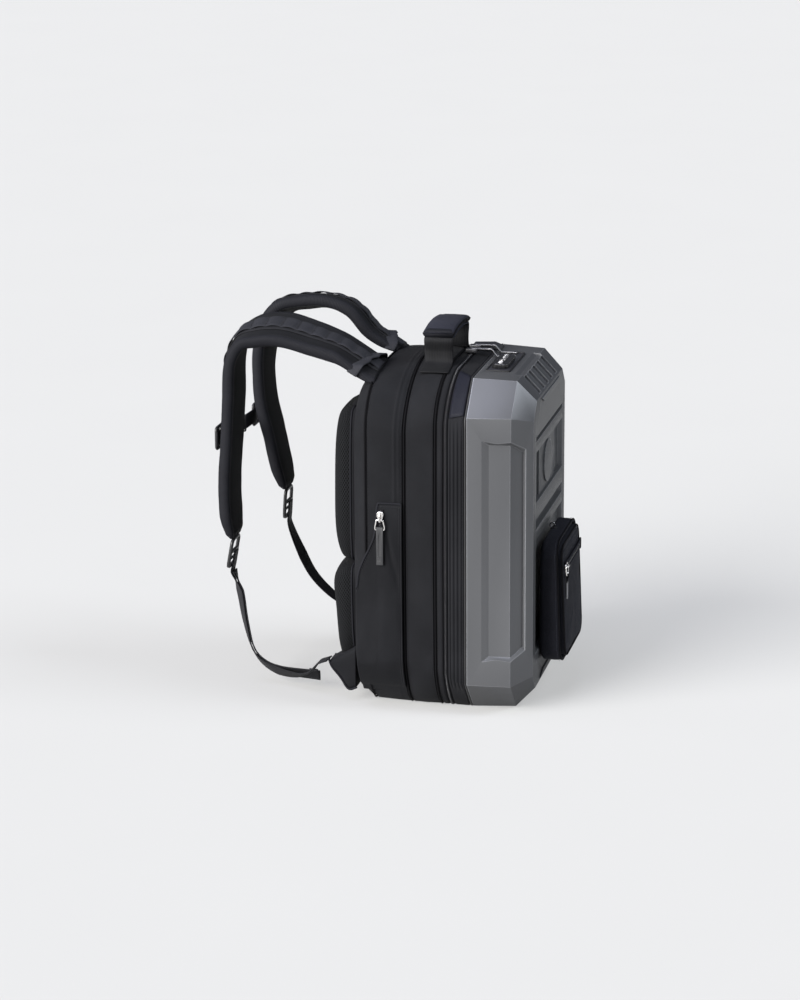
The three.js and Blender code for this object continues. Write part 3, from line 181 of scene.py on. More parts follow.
class Finish:
    """One material: a surface shader and the patterns that feed it."""

    def __init__(self, name, colour, roughness=0.5, metal=0.0, sheen=0.0, gloss=0.5, edge=1.0):
        self.material = bpy.data.materials.new(name)
        self.material.use_nodes = True
        self.tree = self.material.node_tree
        self.shader = self.tree.nodes["Principled BSDF"]
        self.colour = colour
        settings = {
            "Base Color": (*colour, 1),
            "Roughness": roughness,
            "Metallic": metal,
            "Sheen Weight": sheen,
            "Sheen Roughness": 0.4,
            "Specular IOR Level": gloss,
            "Specular Tint": (edge, edge, edge, 1),
        }
        for socket, value in settings.items():
            self.shader.inputs[socket].default_value = value

    def node(self, kind, settings=None, sockets=None, output=0):
        made = self.tree.nodes.new(kind)
        for name, value in (settings or {}).items():
            setattr(made, name, value)
        for name, value in (sockets or {}).items():
            self.feed(made.inputs[name], value)
        return Value(self, made.outputs[output])

    def feed(self, socket, value):
        if isinstance(value, Value):
            self.tree.links.new(value.socket, socket)
        else:
            socket.default_value = value

    def place(self):
        """Where a point is on the bag, in metres."""
        return self.node("ShaderNodeTexCoord", output="Object")

    def flat_place(self):
        """Distances across and along a strip or sheet, in millimetres."""
        uv = self.node("ShaderNodeUVMap", {"uv_map": "flat"})
        across = self.node("ShaderNodeSeparateXYZ", sockets={0: uv}, output=0)
        along = self.node("ShaderNodeSeparateXYZ", sockets={0: uv}, output=1)
        return across * 1000, along * 1000

    def grain(self, scale, detail=3, stretch=None):
        """Noise from 0 to 1; scale is in repeats per metre."""
        where = self.place()
        if stretch:
            where = self.node("ShaderNodeVectorMath", {"operation": "MULTIPLY"}, {0: where, 1: stretch})
        return self.node("ShaderNodeTexNoise", sockets={"Vector": where, "Scale": scale, "Detail": detail})

    def crests(self, width):
        """1 along edges that stand proud, 0 on flat faces and in corners; width is in millimetres."""
        eased = self.node("ShaderNodeBevel", {"samples": 6}, {"Radius": width * MM})
        square = self.node("ShaderNodeNewGeometry", output="Normal")
        agree = self.node(
            "ShaderNodeVectorMath", {"operation": "DOT_PRODUCT"}, {0: eased, 1: square}, output="Value",
        )
        open_air = self.node(
            "ShaderNodeAmbientOcclusion", {"samples": 6}, {"Distance": width * 3 * MM}, output="AO",
        )
        return (1 - agree).between(0.02, 0.12) * open_air.between(0.72, 0.92)

    def mixed(self, mask, low, high):
        """The low colour where mask is 0 and the high one where it is 1."""
        sockets = {"Factor": mask, 6: low, 7: high}
        return self.node("ShaderNodeMix", {"data_type": "RGBA"}, sockets, output=2)

    def tinted(self, mask, amount, other=None):
        """The colour, mixed towards another or a lighter one where mask is high."""
        lighter = tuple(min(1, c * (1 + 4 * amount) + amount * 0.02) for c in self.colour)
        goal = other or lighter
        return self.mixed(mask, (*self.colour, 1), (*goal, 1))

    def done(self, colour=None, roughness=None, height=None, depth=0.2):
        """Links what changes over the surface; depth is the bump's height in millimetres."""
        if colour is not None:
            self.feed(self.shader.inputs["Base Color"], colour)
        if roughness is not None:
            self.feed(self.shader.inputs["Roughness"], roughness)
        if height is not None:
            sockets = {"Height": height, "Distance": depth * MM}
            self.feed(self.shader.inputs["Normal"], self.node("ShaderNodeBump", sockets=sockets))
        return self.material


TURN = 2 * math.pi


def woven(across, along, pitch):
    """Over and under of a plain weave."""
    warp = (across * (TURN / pitch)).sine()
    weft = (along * (TURN / pitch)).sine()
    return warp * weft * 0.5 + 0.5


def cloth_finish(name, colour, pitch=0.9, grid=None, sheen=0.01, roughness=0.78):
    """Tightly woven bag cloth, with a coarser grid of thicker threads where it is a ripstop."""
    finish = Finish(name, colour, roughness=roughness, sheen=sheen, gloss=0.09)
    across, along = finish.flat_place()
    weave = woven(across, along, pitch)
    height = weave
    if grid:
        lines = (across * (TURN / grid)).cosine().at_least((along * (TURN / grid)).cosine())
        height = weave * 0.6 + lines.between(0.86, 1.0) * 0.8
    cloudy = finish.grain(14, 4)
    shade = cloudy.between(0.35, 0.72) * 0.7 + weave * 0.3
    colour = finish.tinted(shade, 0.10)
    rough = cloudy * 0.16 + (roughness - 0.08)
    return finish.done(colour, rough, height, depth=0.12)


def mesh_finish(name, colour, under, pitch=7.2):
    """Spacer mesh: rows of open diamonds over a darker ground, its own tone and painted shade."""
    finish = Finish(name, colour, roughness=0.85, sheen=0.01, gloss=0.08)
    across, along = finish.flat_place()
    slant = across * (TURN / pitch) + along * (TURN / (pitch * 1.7))
    other = across * (TURN / pitch) - along * (TURN / (pitch * 1.7))
    net = slant.cosine() * other.cosine()
    holes = net.size().between(0.35, 0.75)
    thread = woven(across, along, 0.8)
    # Holes take the under colour: partly the ground's own darker tone, partly painted shade in the hollows
    colour = finish.tinted(holes, 0.1, under)
    return finish.done(colour, None, (1 - holes) + thread * 0.15, depth=0.9)


def webbing_finish(name, colour, roughness=0.62):
    """Ribbed webbing: fine ridges along it and close threads over them."""
    finish = Finish(name, colour, roughness=roughness, sheen=0.01, gloss=0.12)
    across, along = finish.flat_place()
    ridges = (across * (TURN / 2.2)).cosine() * 0.5 + 0.5
    picks = (along * (TURN / 1.1) + across * (TURN / 2.2)).sine() * 0.5 + 0.5
    height = ridges * 0.7 + picks * 0.5
    shade = picks * 0.5 + finish.grain(40, 3).between(0.3, 0.8) * 0.5
    return finish.done(finish.tinted(shade, 0.12), None, height, depth=0.25)


def tape_finish(name, colour, pitch=1.6, roughness=0.6):
    """Ribbed binding tape or corded edge, its ribs running across."""
    finish = Finish(name, colour, roughness=roughness, gloss=0.05)
    along = finish.flat_place()[1]
    ribs = (along * (TURN / pitch)).cosine() * 0.5 + 0.5
    shade = ribs * 0.6 + finish.grain(60, 2) * 0.4
    return finish.done(finish.tinted(shade, 0.1), None, ribs, depth=0.22)


SHELL_COLOUR = (0.088, 0.090, 0.095)
# Painted highlight on the shell's proud edges: its width in millimetres, strength and colour
EDGE_HIGHLIGHT_WIDTH = 2.4
EDGE_HIGHLIGHT = 0.7
EDGE_HIGHLIGHT_COLOUR = (0.34, 0.35, 0.37)


def shell_finish():
    """Pressed shell: satin gunmetal lacquer, fine grain, faint rubbing and a painted edge highlight."""
    finish = Finish("shell_lacquer", SHELL_COLOUR, roughness=0.36, metal=0.5, edge=0.05, gloss=0.35)
    speckle = finish.grain(2600, 2)
    cloudy = finish.grain(9, 5, stretch=(1, 1, 0.5))
    rubbed = finish.grain(55, 6).between(0.62, 0.8)
    rough = cloudy * 0.1 + rubbed * 0.06 + 0.31
    shade = cloudy.between(0.3, 0.75) * 0.6 + speckle * 0.4
    body = finish.tinted(shade, 0.035)
    # Painted highlight: proud edges lightened in the base colour
    wear_and_edge_highlight = finish.crests(EDGE_HIGHLIGHT_WIDTH) * EDGE_HIGHLIGHT
    colour = finish.mixed(wear_and_edge_highlight, body, (*EDGE_HIGHLIGHT_COLOUR, 1))
    return finish.done(colour, rough, speckle, depth=0.035)


def metal_finish(name, colour, roughness):
    """Plated zinc casting with faint hairlines and handling marks."""
    finish = Finish(name, colour, roughness=roughness, metal=1.0)
    hairline = finish.grain(900, 2, stretch=(1, 0.06, 1))
    marks = finish.grain(120, 5).between(0.5, 0.75)
    rough = marks * 0.16 + hairline * 0.08 + (roughness - 0.06)
    return finish.done(finish.tinted(marks, 0.05), rough, hairline, depth=0.02)


def moulded_finish(name, colour, roughness, grain=900):
    """Moulded plastic or rubber with a fine spark-eroded grain."""
    finish = Finish(name, colour, roughness=roughness, gloss=0.45)
    pebbles = finish.grain(grain, 3)
    # Random worn patches: lighter and rougher
    wear_and_edge_highlight = finish.grain(70, 4).between(0.5, 0.8)
    rough = wear_and_edge_highlight * 0.12 + (roughness - 0.05)
    return finish.done(finish.tinted(wear_and_edge_highlight, 0.06), rough, pebbles, depth=0.06)


def make_finishes():
    return {
        "shell": shell_finish(),
        "cloth": cloth_finish("body_cloth", (0.0056, 0.0058, 0.0070)),
        "coated": cloth_finish("coated_corner", (0.0058, 0.0062, 0.0098), roughness=0.45, sheen=0),
        "handle_cloth": cloth_finish("handle_cloth", (0.0135, 0.0142, 0.0205), pitch=1.1),
        "lining": cloth_finish("lining_cloth", (0.004, 0.004, 0.005), pitch=0.7),
        "pouch": cloth_finish("pouch_ripstop", (0.0085, 0.0090, 0.0125), grid=5.2, sheen=0.01),
        # Spacer mesh: its near-black hole colour is partly painted shade
        "mesh": mesh_finish("spacer_mesh", (0.0085, 0.0090, 0.0100), (0.0006, 0.0006, 0.0008)),
        "webbing": webbing_finish("strap_webbing", (0.0085, 0.0086, 0.0102)),
        "handle_leg": webbing_finish("handle_leg_webbing", (0.0042, 0.0043, 0.0050)),
        "daisy": webbing_finish("loop_webbing", (0.0135, 0.0139, 0.0172)),
        "binding": tape_finish("binding_tape", (0.0080, 0.0082, 0.0102)),
        "piping": tape_finish("corded_piping", (0.0022, 0.0022, 0.0028), pitch=1.2, roughness=0.7),
        "zip_tape": tape_finish("zip_tape", (0.0045, 0.0045, 0.0055), pitch=0.9),
        "coil": moulded_finish("zip_coil", (0.007, 0.007, 0.009), 0.35),
        "lock_case": moulded_finish("lock_case_enamel", (0.008, 0.008, 0.009), 0.3),
        "pouch_thread": moulded_finish("pouch_thread", (0.024, 0.025, 0.036), 0.7),
        "cord_end": moulded_finish("cord_end_tube", (0.22, 0.22, 0.23), 0.45),
        "thread": moulded_finish("sewing_thread", (0.014, 0.0143, 0.018), 0.7),
        "rubber": moulded_finish("pull_rubber", (0.02, 0.0205, 0.0225), 0.55),
        "trim": moulded_finish("rim_rubber", (0.006, 0.006, 0.007), 0.6),
        "plastic": moulded_finish("buckle_acetal", (0.008, 0.008, 0.009), 0.42),
        "dark_metal": metal_finish("lock_metal", (0.22, 0.22, 0.23), 0.34),
        "plate": moulded_finish("lock_plate_enamel", (0.020, 0.020, 0.024), 0.38),
        "bright_metal": metal_finish("pull_nickel", (0.72, 0.70, 0.68), 0.24),
        "button_metal": metal_finish("button_steel", (0.34, 0.34, 0.35), 0.42),
        "numeral": moulded_finish("numeral_ink", (0.55, 0.55, 0.55), 0.6),
    }


# Meshes from grids of points
def lengths_between(points, closed):
    following = np.roll(points, -1, axis=0) if closed else points[1:]
    steps = np.linalg.norm(following - points[: len(following)], axis=1)
    return np.concatenate([[0], np.cumsum(steps)])


def surface(name, grid, finish, body="bag", around=False, loop=False, capped=False, flip=False, areas=None):
    """Mesh through a grid of points: around joins its columns, loop its rows, capped closes its ends.
    areas gives each column its finish when there are several."""
    grid = np.asarray(grid, float)
    rows, columns = grid.shape[:2]
    spans_across = columns if around else columns - 1
    spans_along = rows if loop else rows - 1
    across = lengths_between(grid[rows // 2], around)
    along = lengths_between(grid[:, columns // 2], loop)
    faces = []
    flat = []
    slots = []
    for r in range(spans_along):
        for c in range(spans_across):
            below = r * columns
            above = ((r + 1) % rows) * columns
            beside = (c + 1) % columns
            quad = [
                (below + c, c, r), (below + beside, c + 1, r), (above + beside, c + 1, r + 1),
                (above + c, c, r + 1),
            ]
            if flip:
                quad.reverse()
            faces.append([corner[0] for corner in quad])
            flat.extend((across[corner[1]], along[corner[2]]) for corner in quad)
            slots.append(areas[c] if areas is not None else 0)
    if capped:
        ends = [list(range(columns)), list(range((rows - 1) * columns, rows * columns))]
        ends[0 if not flip else 1].reverse()
        for end in ends:
            faces.append(end)
            middle = grid.reshape(-1, 3)[end].mean(axis=0)
            flat.extend((grid.reshape(-1, 3)[i] - middle)[:2] for i in end)
            slots.append(areas[0] if areas is not None else 0)
    return piece_from(name, grid.reshape(-1, 3), faces, finish, body, flat, slots)


def piece_from(name, points, faces, finish, body="bag", flat=None, slots=None):
    """One object from points in millimetres; flat holds each face corner's place on the cloth."""
    mesh = bpy.data.meshes.new(name)
    mesh.from_pydata((np.asarray(points, float) * MM).tolist(), [], faces)
    if flat is not None:
        layer = mesh.uv_layers.new(name="flat")
        layer.data.foreach_set("uv", (np.asarray(flat, float) * MM).ravel())
    finishes = finish if isinstance(finish, list) else [finish]
    for one in finishes:
        mesh.materials.append(FINISHES[one])
    if slots is not None:
        mesh.polygons.foreach_set("material_index", slots)
    mesh.polygons.foreach_set("use_smooth", [True] * len(mesh.polygons))
    mesh.update()
    piece = bpy.data.objects.new(name, mesh)
    bpy.context.scene.collection.objects.link(piece)
    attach(piece, body)
    return piece


def thicken(piece, wall):
    """Gives an open sheet its thickness, on the side away from its normals."""
    made = piece.modifiers.new("wall", "SOLIDIFY")
    made.thickness = wall * MM
    made.offset = -1
    return piece


def rounded(piece, width, segments=3, angle=28):
    """Rounds the hard edges of a piece."""
    made = piece.modifiers.new("edge", "BEVEL")
    made.width = width * MM
    made.segments = segments
    made.limit_method = "ANGLE"
    made.angle_limit = math.radians(angle)
    made.use_clamp_overlap = True
    made.harden_normals = True
    made.miter_outer = "MITER_ARC"
    return piece


def dressed_solid(node, finish, width, body="bag", segments=3, angle=28):
    """The node's own shape with rounded edges, in place of the node."""
    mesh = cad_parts[node].data.copy()
    mesh.name = f"{node}_dressed"
    shape = bmesh.new()
    shape.from_mesh(mesh)
    bmesh.ops.remove_doubles(shape, verts=shape.verts, dist=0.00002)
    bmesh.ops.dissolve_limit(shape, angle_limit=math.radians(0.6), verts=shape.verts, edges=shape.edges)
    for face in shape.faces:
        face.smooth = True
    shape.to_mesh(mesh)
    shape.free()
    mesh.materials.clear()
    mesh.materials.append(FINISHES[finish])
    piece = bpy.data.objects.new(f"{node}_dressed", mesh)
    bpy.context.scene.collection.objects.link(piece)
    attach(piece, body)
    rounded(piece, width, segments, angle)
    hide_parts(node)
    return piece


def joined_mesh(name, parts, finish, body="bag"):
    """One piece from many small ones, each a pair of points and faces."""
    points = []
    faces = []
    for part_points, part_faces in parts:
        start = len(points)
        points.extend(part_points)
        faces.extend([[start + i for i in face] for face in part_faces])
    points = np.array(points)
    points[:, 2] = np.maximum(points[:, 2], 0.05)
    return piece_from(name, points, faces, finish, body)


def unit(vectors):
    vectors = np.asarray(vectors, float)
    return vectors / np.linalg.norm(vectors, axis=-1, keepdims=True)


def tangents(path, closed):
    if closed:
        return unit(np.roll(path, -1, axis=0) - np.roll(path, 1, axis=0))
    return unit(np.gradient(path, axis=0))


def tube(name, path, radius, finish, body="bag", closed=False, sides=10, normals=None, squash=1.0):
    """Cord or wire along a path; normals keep it from twisting and squash flattens it along them."""
    path = np.asarray(path, float)
    ahead = tangents(path, closed)
    if normals is None:
        guide = np.array([0.0, 0.0, 1.0]) if abs(ahead[:, 2]).max() < 0.8 else np.array([0.31, 0.95, 0.05])
        normals = np.tile(guide, (len(path), 1))
    beside = unit(np.cross(ahead, normals))
    outwards = np.cross(beside, ahead)
    angles = np.linspace(0, TURN, sides, endpoint=False)
    radii = np.broadcast_to(radius, (len(path),))[:, None, None]
    sideways = beside[:, None] * np.cos(angles)[None, :, None]
    ring = sideways + squash * outwards[:, None] * np.sin(angles)[None, :, None]
    grid = path[:, None] + radii * ring
    return surface(name, grid, finish, body, around=True, loop=closed, capped=not closed)


# A stitch is a short thread with pointed ends, bedded in the cloth
STITCH_FACES = [[0, 2, 1], [0, 3, 2], [0, 4, 3], [0, 1, 4], [5, 1, 2], [5, 2, 3], [5, 3, 4], [5, 4, 1]]


def stitch_run(path, normals, length=2.6, gap=1.0, radius=0.32, closed=False):
    """Stitches along a path as points and faces."""
    path = np.asarray(path, float)
    if closed:
        path = np.vstack([path, path[:1]])
        normals = np.vstack([normals, normals[:1]])
    reach = lengths_between(path, False)
    starts = np.arange(gap, reach[-1] - length, length + gap)
    stops = np.stack([starts, starts + length * 0.5, starts + length], axis=1).ravel()
    place = np.stack([np.interp(stops, reach, path[:, i]) for i in range(3)], axis=1).reshape(-1, 3, 3)
    facing = np.stack(
        [np.interp(stops, reach, normals[:, i]) for i in range(3)], axis=1,
    ).reshape(-1, 3, 3)[:, 1]
    parts = []
    for (start, middle, end), up in zip(place, unit(facing)):
        side = unit(np.cross(end - start, up))
        body = [
            middle + radius * side, middle + radius * 1.3 * up, middle - radius * side,
            middle - radius * up,
        ]
        parts.append(([start, *body, end], STITCH_FACES))
    return parts


FINISHES = make_finishes()


# Soft body: planes and seams, shared with the solids
HALF_WIDTH = 151.6
BAG_HEIGHT = 456
RIM_Y = -63
FRONT_SEAM_Y = -21
MIDDLE_SEAM_Y = 21
REAR_SEAM_Y = 73
BACK_Y = 95
ZIP_Y = -35
FACE_Y = -147.2
CLEARANCE = 0.3
CHAMFER_SHARE = 2 - math.sqrt(2)
CROWN = 0.004

# side, corner and foot widths are shares of the half width; top, base and tall values of the height
SEAM_KEYS = (
    "y", "side", "top", "base", "corner_wide", "corner_tall", "foot_wide", "foot_tall", "round",
    "foot_round", "bow",
)
SEAM_ROWS = (
    (RIM_Y, 1, 1, 0, 0.3, 0.0965, 0.3, 0.0965, 0, 0, 0),
    (FRONT_SEAM_Y, 0.985, 1.006, 0, 0.63, 0.13, 0.3, 0.14, 0.9, 0.5, 0.02),
    (MIDDLE_SEAM_Y, 0.99, 1.014, 0, 0.71, 0.158, 0.31, 0.16, 0.72, 0.5, 0.015),
    (REAR_SEAM_Y, 1.01, 0.997, 0, 0.63, 0.14, 0.37, 0.15, 1, 0.4, 0),
    (BACK_Y, 0.87, 0.955, 0.035, 0.5, 0.14, 0.3, 0.13, 1, 0.6, 0),
)
CORNER_STEPS = 14
SIDE_STEPS = 22
LEVEL_STEPS = 12


def seam_at(y):
    table = np.array(SEAM_ROWS)
    return {key: float(np.interp(y, table[:, 0], table[:, i])) for i, key in enumerate(SEAM_KEYS)}


def quarter(centre, size, start, roundness, steps=CORNER_STEPS):
    """Quarter corner between a straight cut and an arc."""
    share = np.linspace(0, 1, steps + 1)
    angle = start + share * math.pi / 2
    arc = np.stack([np.cos(angle), np.sin(angle)], axis=1)
    line = arc[0] * (1 - share)[:, None] + arc[-1] * share[:, None]
    return np.array(centre) + (line + (arc - line) * roundness) * np.array(size)


def outline(y, grow=0.0, flat_foot=True):
    """Outline of the soft body at one depth, as x and z, from the middle of the foot round to it."""
    seam = seam_at(y)
    wide = seam["side"] * HALF_WIDTH + grow
    top = seam["top"] * BAG_HEIGHT + grow
    foot = seam["base"] * BAG_HEIGHT - (0 if flat_foot and grow > 0 else grow)
    corner_grow = grow * (1 - CHAMFER_SHARE + CHAMFER_SHARE * seam["round"])
    corner = (
        seam["corner_wide"] * HALF_WIDTH + corner_grow, seam["corner_tall"] * BAG_HEIGHT + corner_grow,
    )
    toe = (seam["foot_wide"] * HALF_WIDTH + corner_grow, seam["foot_tall"] * BAG_HEIGHT + corner_grow)
    low = foot + toe[1]
    high = top - corner[1]
    share = np.linspace(0, 1, SIDE_STEPS + 1)[1:-1]
    bowed = wide + seam["bow"] * HALF_WIDTH * np.sin(math.pi * share)
    side = np.stack([bowed, low + (high - low) * share], axis=1)
    level = np.linspace(0, wide - toe[0], LEVEL_STEPS + 1)[:-1]
    floor = np.stack([level, np.full(LEVEL_STEPS, foot)], axis=1)
    crown_half = wide - corner[0]
    crown_x = np.linspace(crown_half, 0, LEVEL_STEPS + 1)[1:]
    crown = CROWN * BAG_HEIGHT * seam["round"] * (1 - (crown_x / crown_half) ** 4)
    crest = np.stack([crown_x, top + crown], axis=1)
    right = np.vstack([
        floor,
        quarter((wide - toe[0], low), toe, -math.pi / 2, seam["foot_round"]),
        side,
        quarter((wide - corner[0], high), corner, 0, seam["round"]),
        crest,
    ])
    left = right[1:-1][::-1] * (-1, 1)
    return np.vstack([right, left])


def body_ring(y, grow=0.0, lift=0.0):
    """The same outline as points, moved outwards by grow; lift may differ from point to point."""
    flat = outline(y, grow)
    following = np.roll(flat, -1, axis=0) - np.roll(flat, 1, axis=0)
    outwards = unit(np.stack([following[:, 1], -following[:, 0]], axis=1))
    flat = flat + outwards * np.broadcast_to(lift, (len(flat),))[:, None]
    flat[:, 1] = np.maximum(flat[:, 1], 0.02)
    return np.stack([flat[:, 0], np.full(len(flat), float(y)), flat[:, 1]], axis=1)


def ring_normals(ring):
    along = np.roll(ring, -1, axis=0) - np.roll(ring, 1, axis=0)
    return unit(np.stack([along[:, 2], np.zeros(len(ring)), -along[:, 0]], axis=1))


def reach_along(y, axis, value, grow=0.0):
    """How wide (axis z) or how high (axis x) the body is at one depth and one height or width."""
    flat = outline(y, grow, flat_foot=False)
    right = flat[: len(flat) // 2 + 1]
    if axis == "z":
        upper = right[LEVEL_STEPS + CORNER_STEPS // 2:]
        order = np.argsort(upper[:, 1], kind="stable")
        return float(np.interp(value, upper[order, 1], upper[order, 0]))
    upper = right[LEVEL_STEPS + CORNER_STEPS + SIDE_STEPS:]
    order = np.argsort(upper[:, 0], kind="stable")
    return float(np.interp(abs(value), upper[order, 0], upper[order, 1]))


def ripple(points, scale, seed):
    """Slow noise from -1 to 1 over the given points; scale is the size of a fold in millimetres."""
    shift = Vector((seed * 13.7, seed * 7.1, seed * 3.3))
    return np.array([noise.noise(Vector(p) / scale + shift) for p in points])


PUFF = 1.6


def gusset_grid(start, end, steps, puff, fold, seed, relief):
    """Cloth wall between two depths: fuller halfway, tucked in at its seams, with soft folds."""
    rings = []
    for share in np.linspace(0, 1, steps):
        y = start + (end - start) * share
        edge = min(share, 1 - share) * abs(end - start)
        tuck = -0.9 * math.exp(-((edge / 1.3) ** 2))
        full = puff * math.sin(math.pi * share) + tuck
        base = body_ring(y)
        stretched = base * (1, 0.5, 0.28)
        folds = fold * ripple(stretched, 26, seed) * min(1, edge / 6)
        extra = relief(y, base) if relief else 0
        rings.append(body_ring(y, 0, full + folds + extra))
    return np.array(rings)


RIB_FOOT = 30
RIB_TOP = 402
RIB_PITCH = 5.2
RIB_RISE = 1.5


def front_relief(y, ring):
    """Upright ribs on both sides of the front wall, below its coated corners."""
    on_side = np.clip((np.abs(ring[:, 0]) - 0.9 * HALF_WIDTH) / 6, 0, 1)
    in_height = np.clip((ring[:, 2] - RIB_FOOT) / 8, 0, 1) * np.clip((RIB_TOP - ring[:, 2]) / 3, 0, 1)
    wave = abs(math.sin(math.pi * (y - RIM_Y) / RIB_PITCH)) ** 0.7
    return RIB_RISE * wave * on_side * in_height


FLAP_Y = 34
FLAP_RISE = 1.1
FLAP_FOOT = 205


def rear_relief(y, ring):
    """Flap that covers the rear compartment's zip: a raised welt behind the middle seam."""
    above = np.clip((ring[:, 2] - FLAP_FOOT) / 20, 0, 1)
    welt = math.exp(-(((y - FLAP_Y) / 1.6) ** 2)) + 0.35 * math.exp(-(((y - FLAP_Y + 6) / 0.9) ** 2))
    step = FLAP_RISE * 0.4 * float(np.clip((FLAP_Y - y) / 2, 0, 1))
    return (FLAP_RISE * welt + step) * (0.25 + 0.75 * above)


# Each wall's two depths, rings between them, puff, height of its folds, their seed and its relief
GUSSETS = {
    "front_gusset": (-59.6, -38.4, 44, 0.2, 0.35, 2, front_relief),
    "zip_facing": (-31.6, -22.8, 10, 0.5, 0.4, 3, None),
    "middle_gusset": (-19.2, 19.2, 26, PUFF, 1.3, 4, None),
    "rear_gusset": (22.8, 71.2, 40, PUFF, 1.1, 5, rear_relief),
}
GUSSET_WALL = 1.6
LINING_PLACES = (-58, -38, -35, -31, -23, -21, -19, 0, 19, 21, 23, 47, 71, 74)
LINING_DROP = 2.2


def add_gusset(node, start, end, steps, puff, fold, seed, relief):
    grid = gusset_grid(start, end, steps, puff, fold, seed, relief)
    piece = surface(f"{node}_cloth", grid, "cloth", around=True, flip=True)
    thicken(piece, GUSSET_WALL)
    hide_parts(node)
    return piece


def add_soft_body():
    for node, row in GUSSETS.items():
        add_gusset(node, *row)
    add_seam_stitches()
    sleeve = np.array([body_ring(y, 0, -LINING_DROP) for y in LINING_PLACES])
    surface("body_lining", sleeve, "lining", around=True, flip=True)
    for name, y in (("front", FRONT_SEAM_Y), ("middle", MIDDLE_SEAM_Y), ("rear", REAR_SEAM_Y)):
        add_piping(name, y)
    add_rim()
    add_main_zip()
    add_coated_corners()
    add_back_panel()


SEAM_STITCH_PLACES = (-57.5, -24.2, -17.4, 17.4, 24.6, 36.6, 69.4)


def add_seam_stitches():
    parts = []
    for y in SEAM_STITCH_PLACES:
        ring = body_ring(y, 0, 0.45)
        parts += stitch_run(ring, ring_normals(ring), length=2.8, gap=1.2, radius=0.3, closed=True)
    joined_mesh("seam_stitches", parts, "thread")


PIPING_RADIUS = 1.3


def add_piping(name, y):
    """Corded edging on a seam: a round bead."""
    ring = body_ring(y, 0, 0.55)
    ring[:, 2] = np.maximum(ring[:, 2], PIPING_RADIUS + 0.05)
    piece = tube(
        f"{name}_piping_cord", ring, PIPING_RADIUS, "piping", closed=True, sides=12,
        normals=ring_normals(ring),
    )
    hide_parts(f"{name}_piping")


# Depth and lift off the body of each ring of the rubber edging, the zip's tape and the back
TRIM_PROFILE = ((-62.9, -1.8), (-62.7, 0.2), (-62.0, 0.8), (-61.0, 0.8), (-60.3, 0.3), (-59.9, -1.8))
ZIP_PROFILE = (
    (-37.9, -0.5), (-37.0, 0.0), (-36.4, -0.1), (-35, -0.2), (-33.6, -0.1), (-33.0, 0.0), (-32.1, -0.5),
)
BACK_PROFILE = (
    (74.8, -0.6), (75.6, 0.2), (79, 0.9), (84, 1.0), (88, 0.6), (91, -0.4), (93.4, -2.4), (94.7, -5.2),
    (95, -9),
)
BACK_INSETS = (-20, -45, -80, -115)


def add_rim():
    """Rubber edging between the shell and the cloth, with a groove on each side."""
    rings = np.array([body_ring(y, 0, lift) for y, lift in TRIM_PROFILE])
    piece = surface("shell_trim_rubber", rings, "trim", around=True, flip=True)
    thicken(piece, 1)
    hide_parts("shell_trim")


TOOTH_PITCH = 1.5


def zip_teeth(path, normals, across, pitch=TOOTH_PITCH, reach=2.6, rise=0.9):
    """Coil of a closed zip as points and faces: short loops that meet along the middle."""
    path = np.asarray(path, float)
    reaches = lengths_between(path, False)
    stops = np.arange(pitch, reaches[-1] - pitch, pitch)
    place = np.stack([np.interp(stops, reaches, path[:, i]) for i in range(3)], axis=1)
    facing = unit(np.stack([np.interp(stops, reaches, normals[:, i]) for i in range(3)], axis=1))
    ahead = unit(np.gradient(place, axis=0))
    across = np.broadcast_to(np.asarray(across, float), place.shape)
    parts = []
    faces = [[0, 1, 2, 3], [4, 7, 6, 5], [0, 4, 5, 1], [1, 5, 6, 2], [2, 6, 7, 3], [3, 7, 4, 0]]
    for i, (spot, up, on, over) in enumerate(zip(place, facing, ahead, across)):
        side = 1 if i % 2 else -1
        middle = spot + over * side * reach * 0.18
        half = pitch * 0.36
        low = [
            middle + over * a * reach / 2 + on * b * half - up * 0.4
            for a, b in ((-1, -1), (1, -1), (1, 1), (-1, 1))
        ]
        high = [
            middle + over * a * reach * 0.34 + on * b * half * 0.6 + up * rise
            for a, b in ((-1, -1), (1, -1), (1, 1), (-1, 1))
        ]
        parts.append((low + high, faces))
    return parts


def add_main_zip():
    """The zip that opens the shell: woven tape and coil."""
    rings = np.array([body_ring(y, 0, lift) for y, lift in ZIP_PROFILE])
    tape = surface("main_zip_tape", rings, "zip_tape", around=True, flip=True)
    thicken(tape, 1.4)
    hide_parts("main_zip")
    ring = body_ring(ZIP_Y)
    shut = np.vstack([ring, ring[:1]])
    normals = ring_normals(ring)
    parts = zip_teeth(shut, np.vstack([normals, normals[:1]]), (0, 1, 0))
    joined_mesh("main_zip_coil", parts, "coil")


GUARD_FOOT = 411
GUARD_RISE = 1.3


def add_coated_corners():
    """Coated patches over the front wall's top corners."""
    depths = np.linspace(-59.2, -39.4, 9)
    sample = body_ring(-50)
    for side, name in ((-1, "left"), (1, "right")):
        chosen = [i for i, p in enumerate(sample) if p[2] > GUARD_FOOT and side * p[0] > 0.58 * HALF_WIDTH]
        rings = []
        for y in depths:
            edge = min(y - depths[0], depths[-1] - y)
            ring = body_ring(y, 0, 0.3 + GUARD_RISE * min(1, edge / 2))
            rings.append(ring[chosen])
        piece = surface(f"coated_corner_{name}", np.array(rings), "coated", flip=True)
        thicken(piece, 1.2)


def add_back_panel():
    """Padded back: a soft shoulder from the rear seam to the flat that the pads stand on."""
    rings = []
    for i, (y, lift) in enumerate(BACK_PROFILE):
        base = body_ring(y)
        folds = 0.7 * ripple(base * (1, 1, 0.4), 30, 6) * min(1, i / 3)
        rings.append(body_ring(y, 0, lift + folds))
    for inset in BACK_INSETS:
        rings.append(body_ring(BACK_Y, inset))
    piece = surface("back_panel_cloth", np.array(rings), "cloth", around=True, flip=True)
    close_ring(piece, len(rings), len(rings[0]))
    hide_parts("back_panel")


